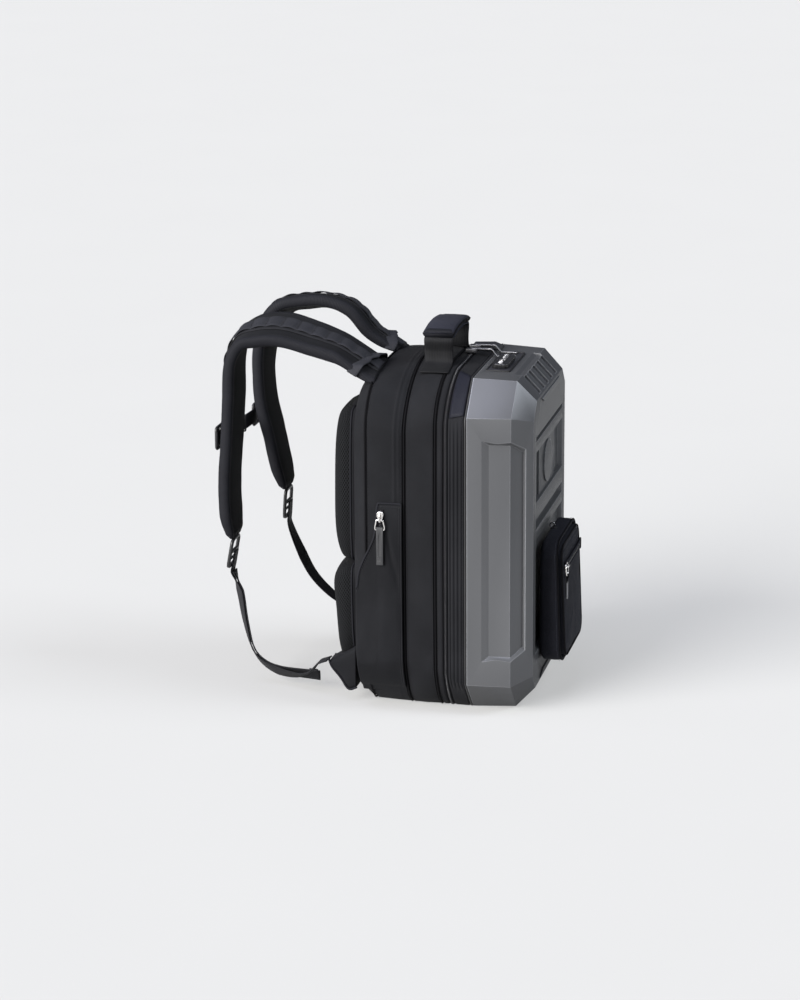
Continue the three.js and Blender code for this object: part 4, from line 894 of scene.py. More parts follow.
def close_ring(piece, rows, columns):
    """Closes the last row of an open tube with one face."""
    shape = bmesh.new()
    shape.from_mesh(piece.data)
    shape.verts.ensure_lookup_table()
    last = [shape.verts[i] for i in range((rows - 1) * columns, rows * columns)]
    shape.faces.new(last)
    bmesh.ops.recalc_face_normals(shape, faces=shape.faces)
    shape.to_mesh(piece.data)
    shape.free()


# Paths along tables of rows
def curve_through(points, count):
    """Centripetal Catmull-Rom curve through the points, as the solids use it."""
    points = np.asarray(points, float)
    before = 2 * points[0] - points[1]
    after = 2 * points[-1] - points[-2]
    padded = np.vstack([before, points, after])
    places = np.linspace(0, len(points) - 1, count)
    made = []
    for place in places:
        k = min(int(place), len(points) - 2)
        p0, p1, p2, p3 = padded[k:k + 4]
        d0, d1, d2 = (max(np.linalg.norm(b - a) ** 0.5, 1e-4) for a, b in ((p0, p1), (p1, p2), (p2, p3)))
        t1 = ((p1 - p0) / d0 - (p2 - p0) / (d0 + d1) + (p2 - p1) / d1) * d1
        t2 = ((p2 - p1) / d1 - (p3 - p1) / (d1 + d2) + (p3 - p2) / d2) * d1
        t = place - k
        made.append(
            p1 + t1 * t + (-3 * p1 + 3 * p2 - 2 * t1 - t2) * t ** 2 + (2 * p1 - 2 * p2 + t1 + t2) * t ** 3
        )
    return np.array(made)


def turned(vectors, axes, degrees):
    """Vectors turned about their own axes."""
    angle = np.radians(degrees)[:, None]
    along = axes * (axes * vectors).sum(axis=1, keepdims=True)
    return vectors * np.cos(angle) + np.cross(axes, vectors) * np.sin(angle) + along * (1 - np.cos(angle))


class Band:
    """A strip along a path: its middle line and the directions across it and out of it."""

    def __init__(self, points, count, widths, rolls=None, across=(1, 0, 0)):
        share = np.linspace(0, 1, count)
        knots = np.linspace(0, 1, len(points))
        self.middle = curve_through(points, count)
        self.ahead = tangents(self.middle, False)
        self.width = np.interp(share, knots, np.broadcast_to(widths, (len(points),)))
        sideways = np.array(across, float) - self.ahead * (self.ahead @ np.array(across, float))[:, None]
        roll = np.interp(share, knots, rolls) if rolls is not None else np.zeros(count)
        self.across = turned(unit(sideways), self.ahead, roll)
        self.out = unit(np.cross(self.across, self.ahead))
        self.reach = lengths_between(self.middle, False)

    def at(self, across_share, lift):
        """Points at a share of the width off the middle line and a lift off it, one for each station."""
        shares = np.broadcast_to(across_share, (len(self.middle),))
        lifts = np.broadcast_to(lift, (len(self.middle),))
        return self.middle + self.across * (shares * self.width)[:, None] + self.out * lifts[:, None]

    def skin(self, section):
        """Grid through a section of across shares and lifts, or through one section for each station."""
        section = np.asarray(section, float)
        if section.ndim == 2:
            section = np.broadcast_to(section, (len(self.middle), *section.shape))
        return (
            self.middle[:, None]
            + self.across[:, None] * (section[:, :, :1] * self.width[:, None, None])
            + self.out[:, None] * section[:, :, 1:]
        )

    def part(self, start, stop):
        """The stations between two shares of the band's length."""
        inside = (self.reach >= start * self.reach[-1]) & (self.reach <= stop * self.reach[-1])
        kept = object.__new__(Band)
        kept.middle = self.middle[inside]
        kept.ahead = self.ahead[inside]
        kept.width = self.width[inside]
        kept.across = self.across[inside]
        kept.out = self.out[inside]
        kept.reach = self.reach[inside] - self.reach[inside][0]
        return kept


WEBBING_THICK = 1.8


def webbing_section(thick):
    """Flat webbing with soft edges and a slightly fuller middle."""
    half = thick / 2
    upper = [
        (-0.5, half * 0.3), (-0.47, half), (-0.25, half * 1.05), (0.25, half * 1.05), (0.47, half),
        (0.5, half * 0.3),
    ]
    lower = [(a, -lift) for a, lift in reversed(upper)]
    return upper + lower


def add_webbing(name, strip, thick=WEBBING_THICK, finish="webbing", lift=0.0):
    section = np.array(webbing_section(thick)) + (0, lift)
    return surface(name, strip.skin(section), finish, around=True, capped=True)


# Shoulder straps: reach is a share of STRAP_REACH behind the rear seam, height of the bag's height
STRAP_REACH = 210
STRAP_SPACING = 140
STRAP_WIDTH = 80
STRAP_THICK = 17
STRAP_ROWS = {
    "left": (
        (-0.04, 1.008, 1), (0.19, 1.05, 1), (0.4, 1.088, 1), (0.63, 1.117, 1), (0.79, 1.108, 1),
        (0.885, 1.08, 0.98),
        (0.945, 1.015, 0.96), (0.962, 0.89, 0.94), (0.981, 0.76, 0.9), (1, 0.65, 0.88), (0.998, 0.54, 0.86),
        (0.972, 0.463, 0.72),
    ),
    "right": (
        (-0.04, 1.008, 1), (0.19, 1.05, 1), (0.333, 1.115, 1), (0.483, 1.138, 1), (0.652, 1.134, 1),
        (0.79, 1.116, 1),
        (0.881, 1.061, 0.98), (0.929, 0.982, 0.96), (0.943, 0.904, 0.94), (0.929, 0.809, 0.92),
        (0.881, 0.715, 0.88),
        (0.838, 0.62, 0.86), (0.79, 0.54, 0.72),
    ),
}
SIDE = {"left": -1, "right": 1}
STRAP_STATIONS = 190
# Outward turn of the strap's upper face at each row, in degrees, and how far a degree lowers it
STRAP_ROLLS = {
    "left": (0, 7, 13, 16, 15, 8, 2, 0, 0, 0, 0, 0), "right": (0, 5, 9, 12, 14, 12, 8, 3, 0, 0, 0, 0, 0),
}
ROLL_SINK = 0.42
STRAP_ROOT = 0.012
ROOT_END_Y = 128
ROOT_RUN = 52
ROOT_SINK = 5


def reach_point(reach, height, x):
    return (x, REAR_SEAM_Y + reach * STRAP_REACH, height * BAG_HEIGHT)


def strap_band(name):
    rows = STRAP_ROWS[name]
    x = SIDE[name] * STRAP_SPACING / 2
    points = [reach_point(reach, height, x) for reach, height, wide in rows]
    points = [(x, y, z - ROLL_SINK * roll) for (x, y, z), roll in zip(points, STRAP_ROLLS[name])]
    rolls = [roll * SIDE[name] for roll in STRAP_ROLLS[name]]
    widths = [STRAP_WIDTH * wide for reach, height, wide in rows]
    return Band(points, STRAP_STATIONS, widths, rolls).part(STRAP_ROOT, 1)


def settled(points):
    """Strap points near the root, bent down over the bag's rounded shoulder."""
    points = np.array(points, float)
    crest = reach_along(REAR_SEAM_Y, "x", 0)
    for spot in points.reshape(-1, 3):
        fade = float(np.clip((ROOT_END_Y - spot[1]) / ROOT_RUN, 0, 1))
        if fade > 0 and spot[2] > BAG_HEIGHT * 0.9:
            drop = crest - reach_along(REAR_SEAM_Y, "x", spot[0])
            spot[2] -= fade * fade * (3 - 2 * fade) * (drop + ROOT_SINK)
    return points


# Strap section: across shares of the width, lifts as shares of half the thickness, and each run's finish
STRAP_SECTION = (
    (-0.40, 0.98, "outer"), (-0.36, 0.90, "outer"), (-0.30, 1.02, "outer"), (-0.15, 1.06, "outer"),
    (0, 1.06, "outer"),
    (0.15, 1.06, "outer"), (0.30, 1.02, "outer"), (0.36, 0.90, "outer"), (0.40, 0.98, "edge"),
    (0.46, 0.86, "edge"),
    (0.49, 0.5, "edge"), (0.5, 0, "edge"), (0.49, -0.5, "edge"), (0.46, -0.84, "edge"),
    (0.41, -0.92, "inner"),
    (0.38, -0.86, "inner"), (0.28, -1.02, "inner"), (0.12, -1.08, "inner"), (0, -1.08, "inner"),
    (-0.12, -1.08, "inner"),
    (-0.28, -1.02, "inner"), (-0.38, -0.86, "inner"), (-0.41, -0.92, "edge"), (-0.46, -0.84, "edge"),
    (-0.49, -0.5, "edge"), (-0.5, 0, "edge"), (-0.49, 0.5, "edge"), (-0.46, 0.86, "edge"),
)
STRAP_FINISHES = ["cloth", "binding", "mesh"]
STRAP_AREA = {"outer": 0, "edge": 1, "inner": 2}


def add_strap(name):
    strip = strap_band(name)
    share = strip.reach / strip.reach[-1]
    full = np.interp(share, (0, 0.05, 0.12, 0.93, 0.985, 1), (0.42, 0.8, 1, 1, 0.72, 0.3))
    narrow = np.interp(share, (0, 0.95, 0.985, 1), (1, 1, 0.9, 0.72))
    folds = 1 + 0.05 * ripple(strip.middle * (1, 1, 1), 22, 11 if name == "left" else 12)
    shape = np.array([(across, lift) for across, lift, area in STRAP_SECTION])
    section = shape[None] * np.stack([narrow, full * folds * STRAP_THICK / 2], axis=1)[:, None]
    areas = [STRAP_AREA[area] for across, lift, area in STRAP_SECTION]
    padding = settled(strip.skin(section))
    piece = surface(
        f"shoulder_strap_{name}_padded", padding, STRAP_FINISHES, around=True, capped=True, areas=areas,
    )
    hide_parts(f"shoulder_strap_{name}")
    parts = []
    for across, lift in ((-0.38, 0.9), (0.38, 0.9), (-0.395, -0.88), (0.395, -0.88)):
        path = settled(strip.at(across * narrow, lift * full * STRAP_THICK / 2))
        up = strip.out if lift > 0 else -strip.out
        parts += stitch_run(path, up, length=2.6, gap=1.2)
    joined_mesh(f"shoulder_strap_{name}_stitches", parts, "thread")
    add_daisy(name, strip, full)
    add_root_webbing(name, strip, full)


ROOT_WRAP_STATIONS = (3, 10)
ROOT_WRAP_REACH = 0.53
ROOT_WRAP_WIDTH = 15


def add_root_webbing(name, strip, full):
    """Webbing wound slantwise over the strap's root."""
    shares = np.linspace(-ROOT_WRAP_REACH, ROOT_WRAP_REACH, 11)
    outer, inner = ROOT_WRAP_STATIONS if SIDE[name] > 0 else ROOT_WRAP_STATIONS[::-1]
    path = []
    for share in shares:
        i = int(np.interp(share, (-ROOT_WRAP_REACH, ROOT_WRAP_REACH), (outer, inner)))
        folded = 1.1 - 1.5 * max(0, abs(share) - 0.45) / 0.08
        rise = STRAP_THICK / 2 * full[i] * folded + 3.6 * (1 - (share / ROOT_WRAP_REACH) ** 4)
        path.append(strip.at(share, rise)[i])
    path = settled(np.array(path))
    band = Band(path, 60, ROOT_WRAP_WIDTH, across=(0, 1, 0))
    add_webbing(f"root_webbing_{name}", band, thick=2.0, finish="daisy")


DAISY_WIDTH = 36
LOOP_PITCH = 20
LOOP_RISE = 2.0
LOOP_WIDTH = 0.72
TACK_LIFT = 3.1
TACK_ROWS = (-1.1, 0, 1.1)


def add_daisy(name, strip, full):
    """Looped webbing on the strap: a flat ground strip and a narrower one that arches between tacks."""
    base = full * STRAP_THICK / 2 * 1.06
    share = DAISY_WIDTH / STRAP_WIDTH
    flat = np.array(webbing_section(1.4)) * (share, 1)
    lower = flat[None] + np.stack([np.zeros(len(full)), base + 0.7], axis=1)[:, None]
    piece = surface(f"daisy_ground_{name}", settled(strip.skin(lower)), "webbing", around=True, capped=True)
    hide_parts(f"daisy_band_{name}")
    arch = np.abs(np.sin(math.pi * strip.reach / LOOP_PITCH)) ** 0.8 * LOOP_RISE
    fading = np.interp(strip.reach / strip.reach[-1], (0, 0.03, 0.94, 0.97), (0, 1, 1, 0))
    upper = flat * (LOOP_WIDTH, 1)
    raised = upper[None] + np.stack([np.zeros(len(full)), base + 1.7 + arch * fading], axis=1)[:, None]
    surface(f"daisy_loops_{name}", settled(strip.skin(raised)), "daisy", around=True, capped=True)
    tacks = []
    for stop in np.arange(LOOP_PITCH, strip.reach[-1] - LOOP_PITCH / 2, LOOP_PITCH):
        i = int(np.argmin(np.abs(strip.reach - stop)))
        half = share * LOOP_WIDTH * strip.width[i] * 0.46
        spot = strip.middle[i] + strip.out[i] * (base[i] + TACK_LIFT)
        for row in TACK_ROWS:
            ends = [spot + strip.across[i] * side * half + strip.ahead[i] * row for side in (-1, 1)]
            path = settled(np.linspace(ends[0], ends[1], 8))
            tacks += stitch_run(path, np.tile(strip.out[i], (8, 1)), length=2.2, gap=0.4, radius=0.35)
    joined_mesh(f"daisy_tacks_{name}", tacks, "thread")


# Frame buckles, lower webbing and its loose end
LOCK_BAR = 5
LOCK_WIDTH = 34
LOCK_LENGTH = 40
LOCK_TILT = 0.35
LOWER_WEBBING_WIDTH = 20
WING_INSET = 84
WING_WIDTH = 38
THREAD_SHARES = (0.5, 1, 1.25)
WEBBING_ROWS = {
    "left": (
        (0.955, 0.29, 0, -38), (0.92, 0.19, 0, -30), (0.87, 0.105, 0, -20), (0.8, 0.064, 0, -35),
        (0.7, 0.044, 0.1, -50),
        (0.57, 0.04, 0.3, -40), (0.46, 0.06, 0.6, -10), (0.38, 0.1, 0.9, 0), (0.312, 0.115, 1, 0),
    ),
    "right": (
        (0.7, 0.32, 0.1, 20), (0.63, 0.25, 0.3, 15), (0.53, 0.19, 0.6, 10), (0.42, 0.145, 0.9, 0),
        (0.312, 0.115, 1, 0),
    ),
}
TAIL_TIP = (0.415, 0.03, 0, -60)
TAIL_FOLLOWS = 6


def lock_place(name, share, off):
    """Place a share of a frame buckle's length down it and some way off it, with its directions."""
    x = SIDE[name] * STRAP_SPACING / 2
    before, last = (np.array(reach_point(row[0], row[1], x)) for row in STRAP_ROWS[name][-2:])
    down = unit(last - before)
    out = np.cross((1, 0, 0), down)
    tilt = unit(down + out * LOCK_TILT)
    head = last + down * (LOCK_BAR / 2 + CLEARANCE)
    return head + tilt * share * LOCK_LENGTH - out * off, tilt, out


def webbing_rows(name):
    off = (LOCK_BAR + WEBBING_THICK) / 2 + 2 * CLEARANCE
    rows = [(lock_place(name, share, off)[0], 0) for share in THREAD_SHARES]
    for row in WEBBING_ROWS[name]:
        rows.append((webbing_point(name, row), row[3]))
    return rows


def webbing_point(name, row):
    strap_x = STRAP_SPACING / 2
    wing_x = WING_INSET + WING_WIDTH / 2
    x = SIDE[name] * (strap_x + (wing_x - strap_x) * row[2])
    return np.array(reach_point(row[0], row[1], x))


def add_lower_webbing(name):
    rows = webbing_rows(name)
    strip = Band([place for place, roll in rows], 120, LOWER_WEBBING_WIDTH, [roll for place, roll in rows])
    piece = add_webbing(f"lower_webbing_{name}_woven", strip)
    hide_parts(f"lower_webbing_{name}")


def add_webbing_tail():
    start = len(THREAD_SHARES) - 1
    rows = webbing_rows("left")[start:start + TAIL_FOLLOWS]
    rows.append((webbing_point("left", TAIL_TIP), TAIL_TIP[3]))
    strip = Band([place for place, roll in rows], 100, LOWER_WEBBING_WIDTH, [roll for place, roll in rows])
    lift = -(WEBBING_THICK + 3 * CLEARANCE)
    piece = add_webbing("webbing_tail_woven", strip, lift=lift)
    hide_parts("webbing_tail")
    hem = strip.part(0.93, 0.995)
    add_webbing("webbing_tail_hem", hem, thick=WEBBING_THICK * 2, lift=lift - WEBBING_THICK * 0.6)
    parts = []
    for across in (-0.38, 0.38):
        parts += stitch_run(hem.at(across, lift - WEBBING_THICK * 1.7), -hem.out, length=2, gap=0.8)
    joined_mesh("webbing_tail_stitches", parts, "thread")


def rounded_loop(centre, along, across, length, width, corner, steps=6):
    """Closed path round a rectangle with rounded corners."""
    points = []
    for quarter_turn, (u, v) in enumerate(((1, 1), (-1, 1), (-1, -1), (1, -1))):
        for i in range(steps + 1):
            angle = (quarter_turn + i / steps) * math.pi / 2
            a = u * (length / 2 - corner) + corner * math.cos(angle)
            b = v * (width / 2 - corner) + corner * math.sin(angle)
            points.append(centre + along * a + across * b)
    return np.array(points)


def add_ladder_lock(name):
    """Moulded frame buckle: a rounded frame with a bowed grip at its free end and two bars across it."""
    middle, tilt, out = lock_place(name, 0.5, 0)
    across = np.array([1.0, 0.0, 0.0])
    loop = rounded_loop(middle, tilt, across, LOCK_LENGTH, LOCK_WIDTH, 7)
    facing = np.tile(np.cross(tilt, across), (len(loop), 1))
    frame_piece = tube(
        f"ladder_lock_{name}_frame", loop, LOCK_BAR / 2, "plastic", closed=True, sides=12, normals=facing,
    )
    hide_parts(f"ladder_lock_{name}")
    for share, radius in ((-0.02, LOCK_BAR * 0.46), (0.22, LOCK_BAR * 0.34)):
        spot = middle + tilt * LOCK_LENGTH * share
        bar = np.linspace(spot - across * LOCK_WIDTH / 2, spot + across * LOCK_WIDTH / 2, 6)
        tube(f"ladder_lock_{name}_bar_{int(share > 0)}", bar, radius, "plastic", sides=10)
    grip = middle + tilt * (LOCK_LENGTH / 2 - 1) + out * 1.2
    swell = np.linspace(-1, 1, 15)
    path = grip + across * swell[:, None] * LOCK_WIDTH * 0.42 + tilt * (2.4 * (1 - swell ** 2))[:, None]
    tube(f"ladder_lock_{name}_grip", path, 2.6 - 0.9 * swell ** 2, "plastic", sides=10)


# Chest strap
STERNUM_Z = 350
STERNUM_SAG = -6
STERNUM_WIDTH = 20
BUCKLE_LENGTH = 46
BUCKLE_THICK = 10
DAISY_THICK = 2
SLIDE_LENGTH = 30
SLIDE_WIDTH = 29
SLIDE_CORNER = 4
SLIDE_WIRE = 2.1
SLIDE_BAR_SHARES = (-0.22, 0.22)
SLIDE_BAR_HALF = 14
KEEPER_LENGTH = 6.4
KEEPER_WIDTH = 23
KEEPER_WIRE = 1.3
BUCKLE_RIDGES = 4
# Spring arm of the buckle: how far along it and off its middle line
BUCKLE_ARM = ((3, 9.4), (8, 12.6), (14, 12.2), (19, 9))


def strap_face(name, z, width):
    """Depth at which webbing of one width clears the strap's looped face at one height."""
    points = [(REAR_SEAM_Y + row[0] * STRAP_REACH, row[1] * BAG_HEIGHT) for row in STRAP_ROWS[name]]
    i = len(points) - 1
    while i > 1 and z > points[i - 1][1]:
        i -= 1
    slope = (points[i - 1][0] - points[i][0]) / (points[i - 1][1] - points[i][1])
    middle = points[i][0] + (z - points[i][1]) * slope
    stand_off = (STRAP_THICK / 2 + DAISY_THICK + CLEARANCE) * math.hypot(1, slope)
    return middle + stand_off + abs(slope) * width / 2


def add_sternum():
    seats = {
        name: strap_face(name, STERNUM_Z, STERNUM_WIDTH) + 3 * CLEARANCE + WEBBING_THICK / 2
        for name in SIDE
    }
    buckle_y = max(seats.values())
    far = STRAP_SPACING / 2 + DAISY_WIDTH / 2
    near = STRAP_SPACING / 2 - DAISY_WIDTH / 2
    end = BUCKLE_LENGTH / 2 + CLEARANCE
    low = STERNUM_Z + STERNUM_SAG
    for name, side in SIDE.items():
        seat = seats[name] + 3.2
        rows = [
            (side * far, seat, STERNUM_Z), (side * (far + near) / 2, seat, STERNUM_Z),
            (side * near, seat, STERNUM_Z),
            (side * (near + end) / 2, (seat + buckle_y) / 2, STERNUM_Z + STERNUM_SAG / 2),
            (side * (end + 5.4), buckle_y, low), (side * end, buckle_y, low),
        ]
        strip = Band(rows, 60, STERNUM_WIDTH, across=(0, 0, 1))
        piece = add_webbing(f"sternum_webbing_{name}_woven", strip)
        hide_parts(f"sternum_webbing_{name}")
        add_sternum_slide(name, side * STRAP_SPACING / 2, seat)
        add_slide_bars(name, side * (end + 9), buckle_y, low)
    dressed_solid("sternum_socket", "plastic", 2.2)
    dressed_solid("sternum_plug", "plastic", 2.2)
    add_buckle_detail(buckle_y, low)


def add_sternum_slide(name, x, seat):
    """Slide that holds the chest strap to the looped webbing."""
    centre = np.array([x, seat + 1.6, STERNUM_Z])
    loop = rounded_loop(
        centre, np.array([1.0, 0, 0]), np.array([0, 0, 1.0]), SLIDE_LENGTH, SLIDE_WIDTH, SLIDE_CORNER,
    )
    facing = np.tile((0.0, 1.0, 0.0), (len(loop), 1))
    tube(f"sternum_slide_{name}", loop, SLIDE_WIRE, "plastic", closed=True, normals=facing)
    for share in SLIDE_BAR_SHARES:
        along = SLIDE_LENGTH * share
        bar = np.linspace(centre + (along, 0, -SLIDE_BAR_HALF), centre + (along, 0, SLIDE_BAR_HALF), 4)
        tube(f"sternum_slide_{name}_bar_{int(share > 0)}", bar, 1.9, "plastic", sides=8)


def add_slide_bars(name, x, y, z):
    """A moulded keeper on the webbing behind the buckle."""
    centre = np.array([x, y, z])
    loop = rounded_loop(
        centre, np.array([0, 1.0, 0]), np.array([0, 0, 1.0]), KEEPER_LENGTH, KEEPER_WIDTH, 2,
    )
    facing = np.tile((1.0, 0.0, 0.0), (len(loop), 1))
    tube(f"sternum_keeper_{name}", loop, KEEPER_WIRE, "plastic", closed=True, normals=facing, sides=8)


def add_buckle_detail(y, z):
    """Springs and finger ridges of the side release buckle."""
    for name, side in SIDE.items():
        for level, up in (("low", -1), ("high", 1)):
            rows = [(side * along, y, z + up * off) for along, off in BUCKLE_ARM]
            path = curve_through(np.array(rows), 14)
            tube(f"buckle_arm_{name}_{level}", path, 2.2, "plastic", sides=8)
        for k in range(BUCKLE_RIDGES):
            x = side * (7 + k * 3)
            ridge = np.linspace((x, y + BUCKLE_THICK / 2, z - 7), (x, y + BUCKLE_THICK / 2, z + 7), 4)
            tube(f"buckle_ridge_{name}_{k}", ridge, 0.55, "plastic", sides=6)


# Back pads: out is a share of the thickness, wide of the half width
PAD_HALF_WIDTH = 125
UPPER_PAD_ROWS = (
    (0, 0.35, 0.88), (0.05, 0.8, 0.96), (0.2, 0.98, 1), (0.5, 1, 1), (0.78, 0.95, 0.98), (0.92, 0.84, 0.94),
    (0.975, 0.66, 0.88), (1, 0.3, 0.8),
)
LOWER_PAD_ROWS = (
    (0, 0.8, 0.9), (0.15, 0.86, 0.95), (0.5, 0.93, 0.99), (0.8, 1, 1), (0.93, 0.82, 0.98), (1, 0.35, 0.9),
)
PADS = {
    "upper": (UPPER_PAD_ROWS, 198, 410, 33),
    "lower": (LOWER_PAD_ROWS, 50, 194, 36),
}
PAD_CHANNEL = 18
PAD_CHANNEL_SHARE = 0.6
PAD_SKIRT = 6
PAD_SKIRT_COLUMNS = 4
QUILT_HEIGHTS = (0.34, 0.67)
QUILT_WIDTH = 3.2
QUILT_DEPTH = 3.4


def pad_section(wide, out, steps=5):
    """Half of a pad's section from its middle channel to its foot, as x and distance from the bag."""
    corners = np.array([
        (0, out * PAD_CHANNEL_SHARE - 0.6), (PAD_CHANNEL * 0.7, out * PAD_CHANNEL_SHARE),
        (PAD_CHANNEL * 1.25, out * 0.8),
        (2 * PAD_CHANNEL, out * 0.97), (wide * 0.5, out * 1.01), (wide * 0.72, out * 0.99),
        (wide * 0.88, out * 0.9),
        (wide * 0.97, out * 0.7), (wide, out * 0.45), (wide * 1.0, min(PAD_SKIRT, out * 0.3)),
        (wide * 0.995, 0),
    ])
    return curve_through(corners, (len(corners) - 1) * steps + 1)


def pad_grid(rows, foot, top, thick):
    table = np.array(rows)
    heights = np.concatenate([np.linspace(0, 0.1, 9), np.linspace(0.14, 0.86, 22), np.linspace(0.9, 1, 11)])
    smooth = curve_through(table, 160)
    grid = []
    for height in heights:
        out = thick * float(np.interp(height, smooth[:, 0], smooth[:, 1]))
        wide = PAD_HALF_WIDTH * float(np.interp(height, smooth[:, 0], smooth[:, 2]))
        half = pad_section(wide, out)
        ring = np.vstack([half[::-1] * (-1, 1), half[1:]])
        z = foot + (top - foot) * height
        grid.append(np.stack([ring[:, 0], BACK_Y + CLEARANCE + ring[:, 1], np.full(len(ring), z)], axis=1))
    return np.array(grid)


WING_TOP = 79
WING_TIP = 57
WING_REACH = 36


def wing_edge(y, drop=0.0):
    """Height of the slanted edge between the lower pad and the cloth wings."""
    return WING_TOP - drop - (WING_TOP - WING_TIP) * (y - BACK_Y) / WING_REACH


def add_pad(name):
    rows, foot, top, thick = PADS[name]
    grid = pad_grid(rows, foot, top, thick)
    if name == "lower":
        floor = wing_edge(grid[:, :, 1])
        grid[:, :, 2] = floor + (grid[:, :, 2] - foot) * (top - floor) / (top - foot)
    columns = grid.shape[1]
    skirt = PAD_SKIRT_COLUMNS
    areas = [0 if c < skirt or c >= columns - 1 - skirt else 1 for c in range(columns)]
    quilting = pad_quilting(grid, foot, top)
    grid[:, :, 1] -= quilting
    piece = surface(f"{name}_back_pad_padded", grid, ["cloth", "mesh"], capped=False, areas=areas)
    close_ends(piece, grid)
    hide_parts(f"{name}_back_pad")
    for side, column in (("left", skirt), ("right", columns - 1 - skirt)):
        seam = grid[:, column]
        out = unit(seam - grid[:, columns // 2] * (1, 0, 1) - (0, BACK_Y, 0)) * (1, 0.4, 0)
        tube(
            f"{name}_back_pad_cord_{side}", seam, 1.3, "binding", sides=8, normals=unit(out + (0, 0.01, 0)),
        )


def pad_quilting(grid, foot, top):
    """Pressed channels across the pad: how far they sink."""
    share = (grid[:, :, 2] - foot) / (top - foot)
    middle = np.clip((PAD_HALF_WIDTH * 0.8 - np.abs(grid[:, :, 0])) / 14, 0, 1)
    off = [(share - at) * (top - foot) / QUILT_WIDTH for at in QUILT_HEIGHTS]
    groove = sum(np.exp(-(one ** 2)) for one in off)
    raised = np.clip((grid[:, :, 1] - BACK_Y - 6) / 8, 0, 1)
    return QUILT_DEPTH * groove * middle * raised


def close_ends(piece, grid):
    """Closes the foot and the top of an open pad, and its seat."""
    rows, columns = grid.shape[:2]
    shape = bmesh.new()
    shape.from_mesh(piece.data)
    shape.verts.ensure_lookup_table()
    for row in (0, rows - 1):
        face = shape.faces.new([shape.verts[row * columns + c] for c in range(columns)])
        face.smooth = True
    for row in range(rows - 1):
        corners = [
            row * columns, row * columns + columns - 1, (row + 1) * columns + columns - 1,
            (row + 1) * columns,
        ]
        shape.faces.new([shape.verts[i] for i in corners])
    bmesh.ops.recalc_face_normals(shape, faces=shape.faces)
    shape.to_mesh(piece.data)
    shape.free()


# Side pockets
POCKET_FRONT = 24
POCKET_REAR = 85
POCKET_FOOT = 20
POCKET_TOP = 292
POCKET_PROUD = 5.5
POCKET_CLOTH = 1.5
POCKET_TUCK = 9.5
POCKET_TUCK_HEIGHT = 15
POCKET_FULL = ((0, 0.12, 0.4, 0.85, 1), (0.1, 0.75, 1, 1, 0.05))
MOUTH_ROWS = ((0.53, 1.02), (0.57, 0.85), (0.67, 0.785), (0.83, 0.71), (0.94, 0.64), (0.98, 0.566))


def pocket_reach(y, height):
    share = (y - POCKET_FRONT) / (POCKET_REAR - POCKET_FRONT)
    full = float(np.interp(height, *POCKET_FULL))
    swell = POCKET_PROUD * full * math.sin(math.pi * min(0.5, share + 0.08))
    z = POCKET_FOOT + (POCKET_TOP - POCKET_FOOT) * height
    return reach_along(min(y, REAR_SEAM_Y), "z", z, PUFF) + CLEARANCE + POCKET_CLOTH + swell


def mouth_height(y):
    """Height of the pocket's edge at one depth, as a share of the pocket's height."""
    table = curve_through(np.array(MOUTH_ROWS), 60)
    share = (y - POCKET_FRONT) / (POCKET_REAR - POCKET_FRONT)
    if share <= MOUTH_ROWS[0][0]:
        return 1.0
    return float(np.interp(share, table[:, 0], table[:, 1]))


# Creases: depth, where each starts, how it slants, its width, its two ends and how it fades at the foot
POCKET_CREASES = ((1.5, 52, 0.24, 3.0, 282, 150, 60), (0.9, 46, 0.12, 2.2, 270, 190, 40))
POCKET_CREASE_TOP = 282
POCKET_COLUMNS = 40
POCKET_ROWS = 56


def pocket_fold(y, z):
    """Creases that run from the zip's end down to the front edge of the pocket."""
    total = 0
    for depth, start_y, slant, width, head, foot, fade in POCKET_CREASES:
        off = (y - (start_y - (POCKET_CREASE_TOP - z) * slant)) / width
        kept = np.clip((head - z) / 20, 0, 1) * np.clip((z - foot) / fade, 0, 1)
        total = total + depth * (math.exp(-(off ** 2)) * float(kept))
    return total


def add_pocket(name, side):
    rings = []
    depths = np.linspace(POCKET_FRONT, POCKET_REAR, POCKET_COLUMNS)
    for row in range(POCKET_ROWS):
        line = []
        for y in depths:
            height = mouth_height(y) * row / (POCKET_ROWS - 1)
            z = POCKET_FOOT + (POCKET_TOP - POCKET_FOOT) * height
            fold = 0.8 * ripple([(side * 150, y, z * 0.4)], 17, 21)[0] - pocket_fold(y, z)
            tuck = POCKET_TUCK * max(0.0, 1 - (z - POCKET_FOOT) / POCKET_TUCK_HEIGHT)
            x = pocket_reach(y, height) + fold * min(1, (y - POCKET_FRONT) / 6) - tuck
            line.append((side * x, y, z))
        rings.append(line)
    grid = np.array(rings)
    piece = surface(f"bottle_pocket_{name}_cloth", grid, "cloth", flip=side < 0)
    thicken(piece, POCKET_CLOTH)
    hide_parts(f"bottle_pocket_{name}")
    outwards = np.tile((float(side), 0.0, 0.0), (POCKET_COLUMNS, 1))
    mouth = grid[-1]
    tube(f"bottle_pocket_{name}_edge", mouth, 1.5, "binding", sides=8, normals=outwards, squash=0.8)
    parts = stitch_run(mouth - (0, 0.6, 4.2) + outwards * 0.5, outwards)
    front = grid[:, 1]
    upright = np.tile((float(side), 0.0, 0.0), (POCKET_ROWS, 1))
    parts += stitch_run(front + (side * 0.3, 1.5, 0), upright)
    tube(
        f"bottle_pocket_{name}_welt", grid[:, 0] + (side * 0.2, 0, 0), 1.2, "cloth", sides=8,
        normals=upright,
    )
    joined_mesh(f"bottle_pocket_{name}_stitches", parts, "thread")


